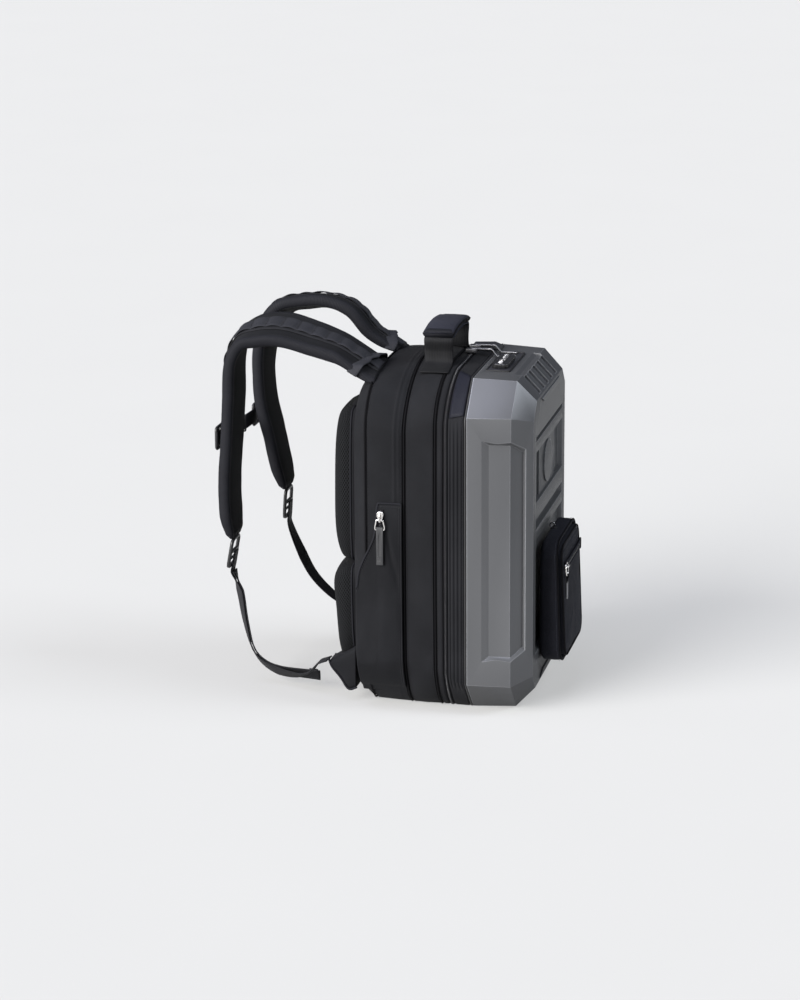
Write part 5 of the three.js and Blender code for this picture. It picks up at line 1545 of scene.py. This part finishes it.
# Sewn wings that hold the lower webbing
WING_OUTLINE = ((0, 0.24), (0.3, 0.2), (0.62, 0.4), (1, 0.62), (1.08, 0.75))


def add_wing(name, side):
    """Padded cloth wing between the bag's foot and the webbing, bound along its free edge."""
    seat = BACK_Y + CLEARANCE
    lower = curve_through(
        np.array([(seat + out * WING_REACH, height * WING_TOP) for out, height in WING_OUTLINE]), 24,
    )
    inner = WING_INSET
    outer = WING_INSET + WING_WIDTH
    rings = []
    for y, foot in lower:
        head = wing_edge(y, CLEARANCE)
        foot = min(foot, head - 2)
        puff = 1.4 * math.sin(math.pi * min(1, (y - seat) / 30))
        ring = [
            (inner, foot + 3), (inner + 3, foot), ((inner + outer) / 2, foot - puff), (outer - 3, foot),
            (outer, foot + 3),
            (outer + puff * 0.4, (foot + head) / 2), (outer, head - 3), (outer - 3, head),
            ((inner + outer) / 2, head),
            (inner + 3, head), (inner, head - 3), (inner - puff * 0.4, (foot + head) / 2),
        ]
        rings.append([(side * x, y, z) for x, z in ring])
    grid = np.array(rings)
    piece = surface(f"anchor_wing_{name}_cloth", grid, "cloth", around=True, capped=True, flip=side < 0)
    smooth_up(piece)
    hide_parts(f"anchor_wing_{name}")
    edge = np.array([(side * (outer - 1), y, foot + 1) for y, foot in lower])
    tube(f"anchor_wing_{name}_binding", edge, 1.5, "binding", sides=8)


def smooth_up(piece):
    """Rounds a coarse piece by one level of subdivision."""
    made = piece.modifiers.new("smooth", "SUBSURF")
    made.levels = 1
    made.render_levels = 1


# Carry handle: across is a share of half its span, rise of its height above the bag's top
HANDLE_Y = -5.5
HANDLE_SPAN = 100
HANDLE_RISE = 38
HANDLE_WIDTH = 39
HANDLE_PAD_THICK = 6
HANDLE_PAD_STATIONS = 70
HANDLE_LEG = ((-1.75, 0), (-1.1, 0), (-1.02, 0.3), (-1.1, 0.72), (-1, 0.86))


def handle_points(rows):
    seat = CLEARANCE + WEBBING_THICK
    level = reach_along(HANDLE_Y, "x", 0, PUFF) + seat
    points = []
    for across, rise in rows:
        x = across * HANDLE_SPAN / 2
        z = reach_along(HANDLE_Y, "x", x, PUFF) + seat if rise == 0 else level + rise * HANDLE_RISE
        points.append((x, HANDLE_Y, z))
    return np.array(points)


def add_handle():
    far_leg = [(-across, rise) for across, rise in reversed(HANDLE_LEG)]
    strip = Band(handle_points([*HANDLE_LEG, (0, 1), *far_leg]), 130, HANDLE_WIDTH, across=(0, 1, 0))
    piece = add_webbing("handle_webbing_woven", strip, finish="handle_leg")
    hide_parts("handle_webbing")
    rows = [(across * 1.08, 1 - 0.14 * across * across) for across in np.linspace(-1, 1, 9)]
    lift = -(WEBBING_THICK / 2 + HANDLE_PAD_THICK / 2 + 4 * CLEARANCE)
    pad = Band(handle_points(rows), HANDLE_PAD_STATIONS, HANDLE_WIDTH + 2, across=(0, 1, 0))
    share = np.linspace(0, 1, HANDLE_PAD_STATIONS)
    full = np.interp(share, (0, 0.03, 0.1, 0.9, 0.97, 1), (0.35, 0.8, 1, 1, 0.8, 0.35))
    folds = 1 + 0.10 * ripple(pad.middle, 12, 31)
    loop = [
        (-0.5, 0), (-0.49, 0.6), (-0.44, 0.95), (-0.36, 0.86), (-0.25, 1.04), (0, 1.12), (0.25, 1.04),
        (0.36, 0.86),
        (0.44, 0.95), (0.49, 0.6), (0.5, 0), (0.49, -0.6), (0.44, -0.95), (0.2, -1.08), (0, -1.1),
        (-0.2, -1.08),
        (-0.44, -0.95), (-0.49, -0.6),
    ]
    scale = np.stack([np.ones(HANDLE_PAD_STATIONS), full * folds * HANDLE_PAD_THICK / 2], axis=1)
    section = np.array(loop)[None] * scale[:, None] + (0, lift)
    padded = surface("handle_pad_cloth", pad.skin(section), "handle_cloth", around=True, capped=True)
    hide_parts("handle_pad")
    add_handle_trim(strip, pad, lift)


def add_handle_trim(strip, pad, lift):
    """Top wrap of the grip, its bound ends, corded lower edge and the crossed stitching of the feet."""
    top = webbing_section(1.6)
    wrap = pad.part(0.03, 0.97)
    surface(
        "handle_wrap", wrap.skin(np.array(top) * (0.98, 1) + (0, WEBBING_THICK + 1.0)), "handle_cloth",
        around=True, capped=True,
    )
    for name, start, stop in (("left", 0.0, 0.075), ("right", 0.925, 1)):
        end = pad.part(start, stop)
        grown = np.array(loop_section()) * (1.03, HANDLE_PAD_THICK / 2 + 2.2) + (0, lift + 1.8)
        surface(f"handle_end_{name}", end.skin(grown), "binding", around=True, capped=True)
    for name, side in (("front", -0.5), ("rear", 0.5)):
        path = pad.at(side, lift + 1.2)
        tube(f"handle_cord_{name}", path, 1.2, "piping", sides=8, normals=pad.out)
    parts = []
    for across in (-0.42, 0.42):
        parts += stitch_run(wrap.at(across, WEBBING_THICK + 2.0), wrap.out, length=2.4, gap=1.1)
    for start, stop in ((0.0, 0.15), (0.85, 1.0)):
        foot = strip.part(start, stop)
        parts += box_stitch(foot)
    joined_mesh("handle_stitches", parts, "thread")


def loop_section():
    angles = np.linspace(0, TURN, 20, endpoint=False)
    return np.stack(
        [0.5 * np.sign(np.cos(angles)) * np.abs(np.cos(angles)) ** 0.35, np.sin(angles)], axis=1,
    )


def box_stitch(strip, lift=WEBBING_THICK / 2 + 0.15, margin=0.42):
    """Square of stitches with a cross in it, over the whole of a short strip."""
    last = len(strip.middle) - 1
    share = np.linspace(0, 1, last + 1)
    parts = []
    for off in (-1, 1, 2 * share - 1, 1 - 2 * share):
        parts += stitch_run(strip.at(margin * off, lift), strip.out, length=2.2, gap=0.9)
    for i in (1, last - 1):
        ends = [strip.at(side * margin, lift)[i] for side in (-1, 1)]
        parts += stitch_run(
            np.linspace(ends[0], ends[1], 8), np.tile(strip.out[i], (8, 1)), length=2.2, gap=0.9,
        )
    return parts


# Shell
SHELL_BEVEL = 1.1
SHELL_BEVEL_ANGLE = 13
# Corners of a side panel's slanted wall: where each stands and where a broader wall has it
PANEL_MOVES = (
    ((149.3, -85.9, 150), (149.5, -83.0, 152.4)), ((147.6, -89.0, 148.5), (147.2, -87.4, 149.4)),
    ((144.9, -89.0, 148.5), (144.9, -92.0, 145.5)),
    ((145.8, -121.6, 148.5), (145.8, -121.6, 151.2)), ((141.8, -120.0, 148.5), (141.8, -120.0, 145.8)),
    ((140.1, -121.6, 148.5), (140.1, -121.6, 145.8)), ((130.4, -136.7, 136.5), (128.7, -138.4, 138.8)),
    ((124.2, -136.7, 136.5), (126.2, -134.7, 134.0)),
)
SHELL_MIDDLE_Z = 230


def add_shell():
    """The pressed shell, with the sunken side panels' walls drawn out to the width they are pressed at."""
    piece = dressed_solid("hard_shell", "shell", SHELL_BEVEL, angle=SHELL_BEVEL_ANGLE)
    for vertex in piece.data.vertices:
        place = np.array(vertex.co) / MM
        mirror = np.array((math.copysign(1, place[0]), 1, math.copysign(1, place[2] - SHELL_MIDDLE_Z)))
        folded = (place - (0, 0, SHELL_MIDDLE_Z)) * mirror
        for stands, goes in PANEL_MOVES:
            if np.abs(folded - stands).max() < 0.4:
                vertex.co = Vector((np.array(goes) * mirror + (0, 0, SHELL_MIDDLE_Z)) * MM)


# Front pouch: out is a share of its depth, inset of its corner radius
POUCH_WIDTH = 150
POUCH_HEIGHT = 170
POUCH_FOOT = 56
POUCH_DEPTH = 24
POUCH_FOOT_EXTRA = 6
POUCH_CORNER = 26
POUCH_BACK_Y = FACE_Y - CLEARANCE
POUCH_ROWS = (
    (0, 0.2), (0.15, 0), (0.5, -0.02), (0.85, 0), (0.97, 0.04), (1.0, 0.12), (0.86, 0.17), (0.82, 0.23),
    (0.86, 0.29),
    (1.08, 0.30), (1.18, 0.38), (1.24, 0.65), (1.28, 1.3),
)
POUCH_PANEL_ROW = 9
POUCH_FACE_ROWS = ((1.30, 1.6), (1.32, 2.0), (1.33, 2.4), (1.33, 2.75))
POUCH_FRONT_CORD = (1.16, 0.32)
POUCH_SIDE_CORD = (0.98, 0.02)
POUCH_CORNER_STEPS = 9
POUCH_EDGE_STEPS = 12
POUCH_ZIP_Z = POUCH_FOOT + POUCH_HEIGHT * 0.79
POUCH_ZIP_HALF = 58
POUCH_SEAM_HEIGHTS = (POUCH_ZIP_Z + 11, POUCH_ZIP_Z + 22)


def pouch_depth(z):
    share = (z - POUCH_FOOT) / POUCH_HEIGHT
    return POUCH_DEPTH + POUCH_FOOT_EXTRA * (1 - share)


def pouch_ring(out, inset_share):
    """One ring of the pouch, an evenly stepped rectangle with round corners."""
    inset = inset_share * POUCH_CORNER
    wide = POUCH_WIDTH / 2 - inset
    tall = POUCH_HEIGHT / 2 - inset
    corner = min(max(POUCH_CORNER - inset, POUCH_CORNER * 0.4), wide * 0.9)

    def arc_point(k, angle):
        u, v = ((1, 1), (-1, 1), (-1, -1), (1, -1))[k % 4]
        return (
            u * (wide - corner) + corner * math.cos(angle), v * (tall - corner) + corner * math.sin(angle),
        )

    points = []
    for k in range(4):
        for i in range(POUCH_CORNER_STEPS + 1):
            points.append(arc_point(k, (k + i / POUCH_CORNER_STEPS) * math.pi / 2))
        start = np.array(points[-1])
        end = np.array(arc_point(k + 1, (k + 1) * math.pi / 2))
        for share in np.linspace(0, 1, POUCH_EDGE_STEPS + 1)[1:-1]:
            points.append(tuple(start + (end - start) * share))
    middle = POUCH_FOOT + POUCH_HEIGHT / 2
    return np.array([(x, POUCH_BACK_Y - out * pouch_depth(middle + z), middle + z) for x, z in points])


def pouch_face(x, z, lift=0.0):
    """Point on the pouch's front, stood off it by lift."""
    from_side = POUCH_WIDTH / 2 - abs(x)
    from_top = POUCH_FOOT + POUCH_HEIGHT - z
    edge = max(0.0, min(from_side, from_top, z - POUCH_FOOT)) / POUCH_CORNER
    front_rows = POUCH_ROWS[POUCH_PANEL_ROW:] + POUCH_FACE_ROWS
    out = float(np.interp(edge, [row[1] for row in front_rows], [row[0] for row in front_rows]))
    return np.array((x, POUCH_BACK_Y - out * pouch_depth(z) - lift, z))


def pouch_relief(point, row_share):
    """Seams sunk into the pouch's top and side."""
    x = point[0]
    z = point[2]
    sunk = 0.0
    if row_share > 0.5:
        for height in POUCH_SEAM_HEIGHTS:
            sunk += 1.1 * math.exp(-(((z - height) / 1.3) ** 2)) * float(np.clip((72 - abs(x)) / 6, 0, 1))
    return sunk


def add_pouch():
    table = np.array(POUCH_ROWS)
    smooth = curve_through(table, 80)
    rings = [pouch_ring(out, inset) for out, inset in smooth]
    rings += [pouch_ring(out, inset) for out, inset in POUCH_FACE_ROWS]
    grid = np.array(rings)
    middle = np.array((0, POUCH_BACK_Y - POUCH_DEPTH / 2, POUCH_FOOT + POUCH_HEIGHT / 2))
    for r, ring in enumerate(grid):
        share = r / len(grid)
        outwards = unit((ring - middle) * (1, 0.6 if share < 0.6 else 3.2, 1))
        folds = 1.3 * ripple(ring * (0.7, 1, 0.6), 17, 41) + 0.7 * ripple(ring, 7, 42)
        sunk = np.array([pouch_relief(point, share) for point in ring])
        calm = min(1, r / 6) * (0.45 if share < 0.7 else 1)
        grid[r] = ring + outwards * (folds * calm - sunk)[:, None]
    grid[:, :, 1] = np.minimum(grid[:, :, 1], POUCH_BACK_Y)
    piece = surface("pouch_body_cloth", grid, "pouch", around=True, capped=True)
    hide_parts("pouch_body")
    add_pouch_edges()
    add_pouch_zip()
    add_pouch_ring()


def add_pouch_edges():
    """Corded edge round the front panel and the deep groove beside it, with their stitches."""
    ring = pouch_ring(*POUCH_FRONT_CORD)
    outwards = unit((ring - (0, 0, POUCH_FOOT + POUCH_HEIGHT / 2)) * (1, 0, 1) - (0, 60, 0))
    ring = ring + outwards * 0.9
    tube("pouch_front_cord", ring, 1.1, "piping", closed=True, sides=10, normals=outwards)
    groove = pouch_ring(*POUCH_SIDE_CORD)
    sideways = unit((groove - (0, 0, POUCH_FOOT + POUCH_HEIGHT / 2)) * (1, 0, 1))
    tube("pouch_side_cord", groove + sideways * 0.6, 1.0, "piping", closed=True, sides=8, normals=sideways)
    parts = stitch_run(pouch_ring(0.86, 0) + sideways * 1.5, sideways, length=2.4, gap=1.1, closed=True)
    for height in POUCH_SEAM_HEIGHTS:
        line = np.array([pouch_face(x, height + 2.4, 1.2) for x in np.linspace(-62, 62, 60)])
        parts += stitch_run(line, np.tile((0.0, -1.0, 0.0), (60, 1)), length=2.4, gap=1.1)
    joined_mesh("pouch_stitches", parts, "pouch_thread")


def add_pouch_zip():
    """Coil zip across the pouch's front between two folded lips."""
    xs = np.linspace(-POUCH_ZIP_HALF, POUCH_ZIP_HALF, 70)
    line = np.array([pouch_face(x, POUCH_ZIP_Z, 1.0) for x in xs])
    strip = Band(line, 90, 11, across=(0, 0, 1))
    towards = 1 if strip.out[45][1] < 0 else -1
    tape = add_webbing("pouch_zip_tape", strip, thick=1.0, finish="zip_tape")
    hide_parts("pouch_zip")
    out = strip.out * towards
    parts = zip_teeth(strip.at(0, 0.6 * towards), out, (0, 0, 1), reach=3.0)
    joined_mesh("pouch_zip_coil", parts, "coil")
    for name, side in (("upper", 0.42), ("lower", -0.42)):
        lip = strip.at(side, 0.9 * towards)
        tube(f"pouch_zip_lip_{name}", lip, 1.5, "pouch", sides=10, normals=out, squash=0.75)
    ends = []
    for x in (-POUCH_ZIP_HALF, POUCH_ZIP_HALF):
        end = np.array([pouch_face(x, POUCH_ZIP_Z + z, 2.0) for z in np.linspace(-5, 5, 6)])
        ends += stitch_run(end, np.tile((0.0, -1.0, 0.0), (6, 1)), length=2.2, gap=0.5)
    joined_mesh("pouch_zip_tacks", ends, "pouch_thread")
    garage = np.array([pouch_face(x, POUCH_ZIP_Z, 2.4) for x in np.linspace(52, 63, 10)])
    stop = Band(garage, 16, 13, across=(0, 0, 1))
    add_webbing("pouch_zip_stop", stop, thick=2.4)


RING_RADIUS = 3.2
RING_WIRE = 1.1
RING_TAB_LENGTH = 10
RING_TAB_RISE = 2.4


def add_pouch_ring():
    angles = np.linspace(0, TURN, 40, endpoint=False)
    reach = RING_RADIUS + RING_WIRE
    centre = np.array((0, POUCH_BACK_Y - reach, POUCH_FOOT + POUCH_HEIGHT + CLEARANCE + reach))
    path = centre + RING_RADIUS * np.stack([np.zeros(40), np.cos(angles), np.sin(angles)], axis=1)
    piece = tube(
        "pouch_clip_ring", path, RING_WIRE, "dark_metal", closed=True,
        normals=np.tile((1.0, 0, 0), (40, 1)),
    )
    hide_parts("pouch_clip")
    seat_z = POUCH_FOOT + POUCH_HEIGHT - 1
    stops = np.linspace(0, RING_TAB_LENGTH, 10)
    rows = [
        (0, POUCH_BACK_Y - 2 - t, seat_z + RING_TAB_RISE * math.sin(math.pi * t / RING_TAB_LENGTH))
        for t in stops
    ]
    add_webbing("pouch_clip_tab", Band(np.array(rows), 16, 9), thick=1.4)


# Zip pulls
def plate(name, outline_points, normal, thick, finish, body="bag", edge=0.5):
    """Flat casting from a closed outline, rounded along its edges."""
    outline_points = np.asarray(outline_points, float)
    step = np.asarray(normal, float) * thick / 2
    count = len(outline_points)
    points = np.vstack([outline_points - step, outline_points + step])
    faces = [list(range(count))[::-1], list(range(count, 2 * count))]
    faces += [[i, (i + 1) % count, count + (i + 1) % count, count + i] for i in range(count)]
    piece = piece_from(name, points, faces, finish, body)
    shape = bmesh.new()
    shape.from_mesh(piece.data)
    bmesh.ops.recalc_face_normals(shape, faces=shape.faces)
    shape.to_mesh(piece.data)
    shape.free()
    return rounded(piece, edge, 2)


def in_plane(points, centre, first, second):
    """Pairs of distances along two directions, as points round a centre."""
    points = np.asarray(points, float)
    along = points[:, :1] * np.asarray(first, float)
    return np.asarray(centre) + along + points[:, 1:] * np.asarray(second, float)


def mirrored(half):
    """An outline from its right half: the same points once more on the left, in reverse."""
    return [*half, *((-across, up) for across, up in reversed(half))]


def wire_loop(half, foot):
    """Closed wire from the pairs of its right half, head first, and the height of its foot."""
    left = mirrored(half)[len(half):]
    return curve_through(np.array([left[-1], *half, (0, foot), *left]), WIRE_STATIONS)[:-1]


WIRE_STATIONS = 70
SLIDER_OUTLINE = mirrored(((2.6, 7), (4.2, 5.2), (4.4, 1.5), (3.2, -1.5), (3.0, -5.5), (1.6, -7)))
SIDE_PULL_Y = 51.5
SIDE_HINGE = (-163.45, SIDE_PULL_Y, 270.75)
SIDE_SLIDER_Z = 274.5
SIDE_LINK_HALF = ((3.2, 0), (4.4, -0.6), (4.9, -2.4), (6.3, -10.8), (6.0, -12.6), (4.6, -13.2))
SIDE_LINK_FOOT = -13.3
SIDE_LINK_WIRE = 1.05
# Bridge over the slider: distance out from the slider's face and height above its middle
SIDE_BRIDGE = ((-1, 5.3), (1.6, 4.1), (2.3, 0), (2.3, -3.3), (1.4, -5.7), (-1, -6.6))
TAB_RIDGES = 4
TAB_RIDGE_DROP = 50
TAB_RIDGE_PITCH = 2.2


def add_side_zip():
    """Nickel slider with its bridge, a flared link and a moulded tab."""
    face_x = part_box("side_zip_slider")[0][0] / MM + 2.2
    centre = np.array((face_x + 1.6, SIDE_PULL_Y, SIDE_SLIDER_Z))
    upright = ((0, 1, 0), (0, 0, 1))
    body = plate(
        "side_slider_top", in_plane(SLIDER_OUTLINE, centre, *upright), (1, 0, 0), 1.8, "bright_metal",
        edge=0.6,
    )
    under = centre + (2.6, 0, 0)
    plate(
        "side_slider_under", in_plane(SLIDER_OUTLINE, under, *upright), (1, 0, 0), 1.6, "bright_metal",
        edge=0.5,
    )
    rows = [(face_x - out, SIDE_PULL_Y, SIDE_SLIDER_Z + up) for out, up in SIDE_BRIDGE]
    arch = curve_through(np.array(rows), 26)
    tube("side_slider_bridge", arch, 1.25, "bright_metal", sides=10, normals=np.tile((0, 1.0, 0), (26, 1)))
    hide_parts("side_zip_slider")
    hinge = np.array(SIDE_HINGE)
    path = in_plane(wire_loop(SIDE_LINK_HALF, SIDE_LINK_FOOT), hinge, *upright)
    facing = np.tile((1.0, 0, 0), (len(path), 1))
    link = tube(
        "side_link_wire", path, SIDE_LINK_WIRE, "bright_metal", "side_pull", closed=True, normals=facing,
    )
    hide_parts("side_zip_link")
    dressed_solid("side_zip_tab", "rubber", 0.7, body="side_pull")
    add_tab_ridges(hinge)
    add_side_zip_coil()


def add_tab_ridges(hinge):
    """Grip lines near the foot of the moulded tab."""
    for k in range(TAB_RIDGES):
        z = hinge[2] - TAB_RIDGE_DROP - k * TAB_RIDGE_PITCH
        line = np.linspace((hinge[0] - 2.3, hinge[1] - 3.4, z), (hinge[0] - 2.3, hinge[1] + 3.4, z), 4)
        tube(f"side_tab_ridge_{k}", line, 0.5, "rubber", "side_pull", sides=6)


def add_side_zip_coil():
    """Zip that runs down from the slider along the pocket's mouth."""
    heights = np.linspace(0.97, 0.80, 40)
    full = POCKET_TOP - POCKET_FOOT
    rows = [(-(pocket_reach(SIDE_PULL_Y, h) + 0.4), SIDE_PULL_Y, POCKET_FOOT + full * h) for h in heights]
    line = np.array(rows)
    normals = np.tile((-1.0, 0, 0), (40, 1))
    strip = Band(line, 40, 9, across=(0, 1, 0))
    add_webbing("side_zip_tape", strip, thick=0.8, finish="zip_tape")
    joined_mesh("side_zip_coil", zip_teeth(line, normals, (0, 1, 0), reach=2.8), "coil")


POUCH_PULL_X = -55.5
POUCH_HINGE = (POUCH_PULL_X, -182.2, POUCH_ZIP_Z)
POUCH_LINK_HALF = ((6.6, 0), (7.9, -1.2), (7.9, -6), (5.2, -11.6), (2.2, -13.6))
POUCH_LINK_FOOT = -14
POUCH_LINK_WIRE = 0.95
# Bridge over the pouch's slider: distance along the zip and out from the hinge
POUCH_BRIDGE = ((-5.6, 0.6), (-4.6, -1.7), (0, -2.4), (4.4, -1.9), (5.4, 0.6))
CORD_END_OUTLINE = mirrored(((1.0, -22), (1.3, -26), (1.4, -42), (1.0, -46.5)))


def add_pouch_pull():
    """Bright slider on the pouch's zip, its wire loop and a knotted cord with a moulded end."""
    hinge = np.array(POUCH_HINGE)
    level = ((0, 0, 1), (1, 0, 0))
    centre = hinge + (0, 1.0, 0)
    body = plate(
        "pouch_slider_top", in_plane(SLIDER_OUTLINE, centre, *level), (0, 1, 0), 1.6, "bright_metal",
        edge=0.5,
    )
    arch = curve_through(in_plane(POUCH_BRIDGE, hinge, (1, 0, 0), (0, 1, 0)), 22)
    tube("pouch_slider_bridge", arch, 1.1, "bright_metal", sides=10, normals=np.tile((0, 0, 1.0), (22, 1)))
    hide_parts("pouch_slider")
    path = in_plane(wire_loop(POUCH_LINK_HALF, POUCH_LINK_FOOT), hinge, (1, 0, 0), (0, 0, 1))
    facing = np.tile((0, 1.0, 0), (len(path), 1))
    wire = tube(
        "pouch_link_wire", path, POUCH_LINK_WIRE, "bright_metal", "pouch_pull", closed=True, normals=facing,
    )
    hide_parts("pouch_link")
    t = np.linspace(0, TURN, 40, endpoint=False)
    knot = hinge + np.stack(
        [1.6 * np.sin(t * 2), -0.6 + 0.9 * np.cos(t * 3), -14.5 - 2.2 * np.cos(t)], axis=1,
    )
    tube("pouch_cord_knot", knot, 1.0, "piping", "pouch_pull", closed=True, sides=8)
    for name, side in SIDE.items():
        cord = np.linspace(hinge + (side * 0.9, -0.2, -16), hinge + (side * 0.8, -0.2, -24), 6)
        tube(f"pouch_cord_{name}", cord, 0.85, "piping", "pouch_pull", sides=8)
    tip_points = in_plane(CORD_END_OUTLINE, hinge + (0, -0.2, 0), (1, 0, 0), (0, 0, 1))
    plate("pouch_cord_end", tip_points, (0, 1, 0), 2.2, "cord_end", "pouch_pull", edge=0.5)


# Combination lock
LOCK_MIDDLE_Y = -86.5
DIAL_RADIUS = 4
DIAL_WIDTH = 3.4
DIAL_Z = 460.07
DIAL_X = {"dial_1": 8.5, "dial_2": 2.0, "dial_3": -4.5}
DIAL_START = {"dial_1": 2, "dial_2": 7, "dial_3": 4}
DIAL_NUMBERS = 10


def add_dial(name):
    """Number wheel: notched between its ten numbers."""
    x = DIAL_X[name]
    angles = np.linspace(0, TURN, 120, endpoint=False)
    notch = np.maximum(0, np.cos(angles * DIAL_NUMBERS)) ** 6 * 0.45
    rings = []
    for share, inset in ((-0.5, 0.9), (-0.5, 0.35), (-0.42, 0.05), (0.42, 0.05), (0.5, 0.35), (0.5, 0.9)):
        radius = DIAL_RADIUS - inset - notch
        y = LOCK_MIDDLE_Y + radius * np.cos(angles)
        z = DIAL_Z + radius * np.sin(angles)
        rings.append(np.stack([np.full(len(angles), x + share * DIAL_WIDTH), y, z], axis=1))
    piece = surface(f"{name}_wheel", np.array(rings), "dark_metal", name, around=True, capped=True)
    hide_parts(name)
    rounded(piece, 0.1, 1, 50)
    numerals = []
    for number in range(DIAL_NUMBERS):
        numerals.append(add_numeral(name, x, number))
    join_pieces(numerals, f"{name}_numbers", name)


def add_numeral(name, x, number):
    """One engraved number on a wheel, facing outwards from its axis."""
    data = bpy.data.curves.new(f"{name}_{number}", "FONT")
    data.body = str(number)
    data.size = 2.7 * MM
    data.extrude = 0.08 * MM
    data.align_x = "CENTER"
    data.align_y = "CENTER"
    item = bpy.data.objects.new(f"{name}_{number}", data)
    bpy.context.scene.collection.objects.link(item)
    angle = (number - DIAL_START[name] + 0.5) * TURN / DIAL_NUMBERS
    out = Vector((0, -math.sin(angle), math.cos(angle)))
    across = Vector((1, 0, 0))
    up = out.cross(across)
    turned_by = Matrix((across, up, out)).transposed().to_4x4()
    spot = Vector((x, LOCK_MIDDLE_Y, DIAL_Z)) * MM + out * (DIAL_RADIUS - 0.02) * MM
    item.matrix_world = Matrix.Translation(spot) @ turned_by
    return item


def join_pieces(items, name, body):
    """Text objects turned into one mesh piece."""
    bpy.context.view_layer.update()
    shape = bmesh.new()
    for item in items:
        mesh = bpy.data.meshes.new_from_object(item.evaluated_get(bpy.context.evaluated_depsgraph_get()))
        mesh.transform(item.matrix_world)
        shape.from_mesh(mesh)
        bpy.data.meshes.remove(mesh)
        bpy.data.objects.remove(item)
    merged = bpy.data.meshes.new(name)
    shape.to_mesh(merged)
    shape.free()
    merged.materials.clear()
    merged.materials.append(FINISHES["numeral"])
    merged.polygons.foreach_set("material_index", [0] * len(merged.polygons))
    piece = bpy.data.objects.new(name, merged)
    bpy.context.scene.collection.objects.link(piece)
    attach(piece, body)
    return piece


def add_lock():
    dressed_solid("lock_plate", "plate", 0.6)
    dressed_solid("lock_case", "lock_case", 0.35, segments=2)
    dressed_solid("release_button", "button_metal", 0.35, body="release", segments=2)
    for name in DIAL_X:
        add_dial(name)
    dressed_solid("zip_pull_left", "dark_metal", 0.55)
    dressed_solid("zip_pull_right", "dark_metal", 0.55)
    dressed_solid("pull_rest", "rubber", 1.0)
    add_lock_surround()
    add_keyhole()


def add_lock_surround():
    """Dark ring over the groove round the lock plate, standing in for the groove's shade."""
    low, high = (np.array(corner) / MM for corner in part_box("lock_plate"))
    centre = (low + high) / 2
    length, width = (high - low)[:2]
    top = high[2] + 0.25
    middle = np.array((centre[0], centre[1], top))
    loop = rounded_loop(middle, np.array([1.0, 0, 0]), np.array([0, 1.0, 0]), length + 0.4, width + 0.4, 3)
    # Painted shade: a dark ring where the groove round the plate looks black
    tube(
        "lock_groove_shade_ring", loop, 1.0, "trim", closed=True, normals=np.tile((0, 0, 1.0), (len(loop), 1)),
        squash=0.7,
    )


KEYHOLE_X = -20
LOCK_TOP_Z = 462.4


def add_keyhole():
    """Round key cylinder with its slot, beside the number wheels."""
    rings = []
    angles = np.linspace(0, TURN, 48, endpoint=False)
    for radius, height in ((4.0, 0), (4.0, 0.5), (3.7, 0.8), (3.0, 0.8), (2.8, 0.35), (0.9, 0.35)):
        x = KEYHOLE_X + radius * np.cos(angles)
        y = LOCK_MIDDLE_Y + radius * np.sin(angles)
        rings.append(np.stack([x, y, np.full(len(angles), LOCK_TOP_Z + height)], axis=1))
    surface("lock_cylinder", np.array(rings), "bright_metal", around=True, capped=True)
    slot = in_plane(
        [(-0.5, -2), (0.5, -2), (0.5, 2), (-0.5, 2)], (KEYHOLE_X, LOCK_MIDDLE_Y, LOCK_TOP_Z + 0.4),
        (1, 0, 0), (0, 1, 0),
    )
    plate("lock_key_slot", slot, (0, 0, 1), 0.5, "trim", edge=0.1)


add_camera()
add_studio()
add_soft_body()
add_shell()
for name, side in SIDE.items():
    add_strap(name)
    add_lower_webbing(name)
    add_ladder_lock(name)
    add_pocket(name, side)
    add_wing(name, side)
add_webbing_tail()
add_sternum()
add_pad("upper")
add_pad("lower")
add_handle()
add_pouch()
add_side_zip()
add_pouch_pull()
add_lock()
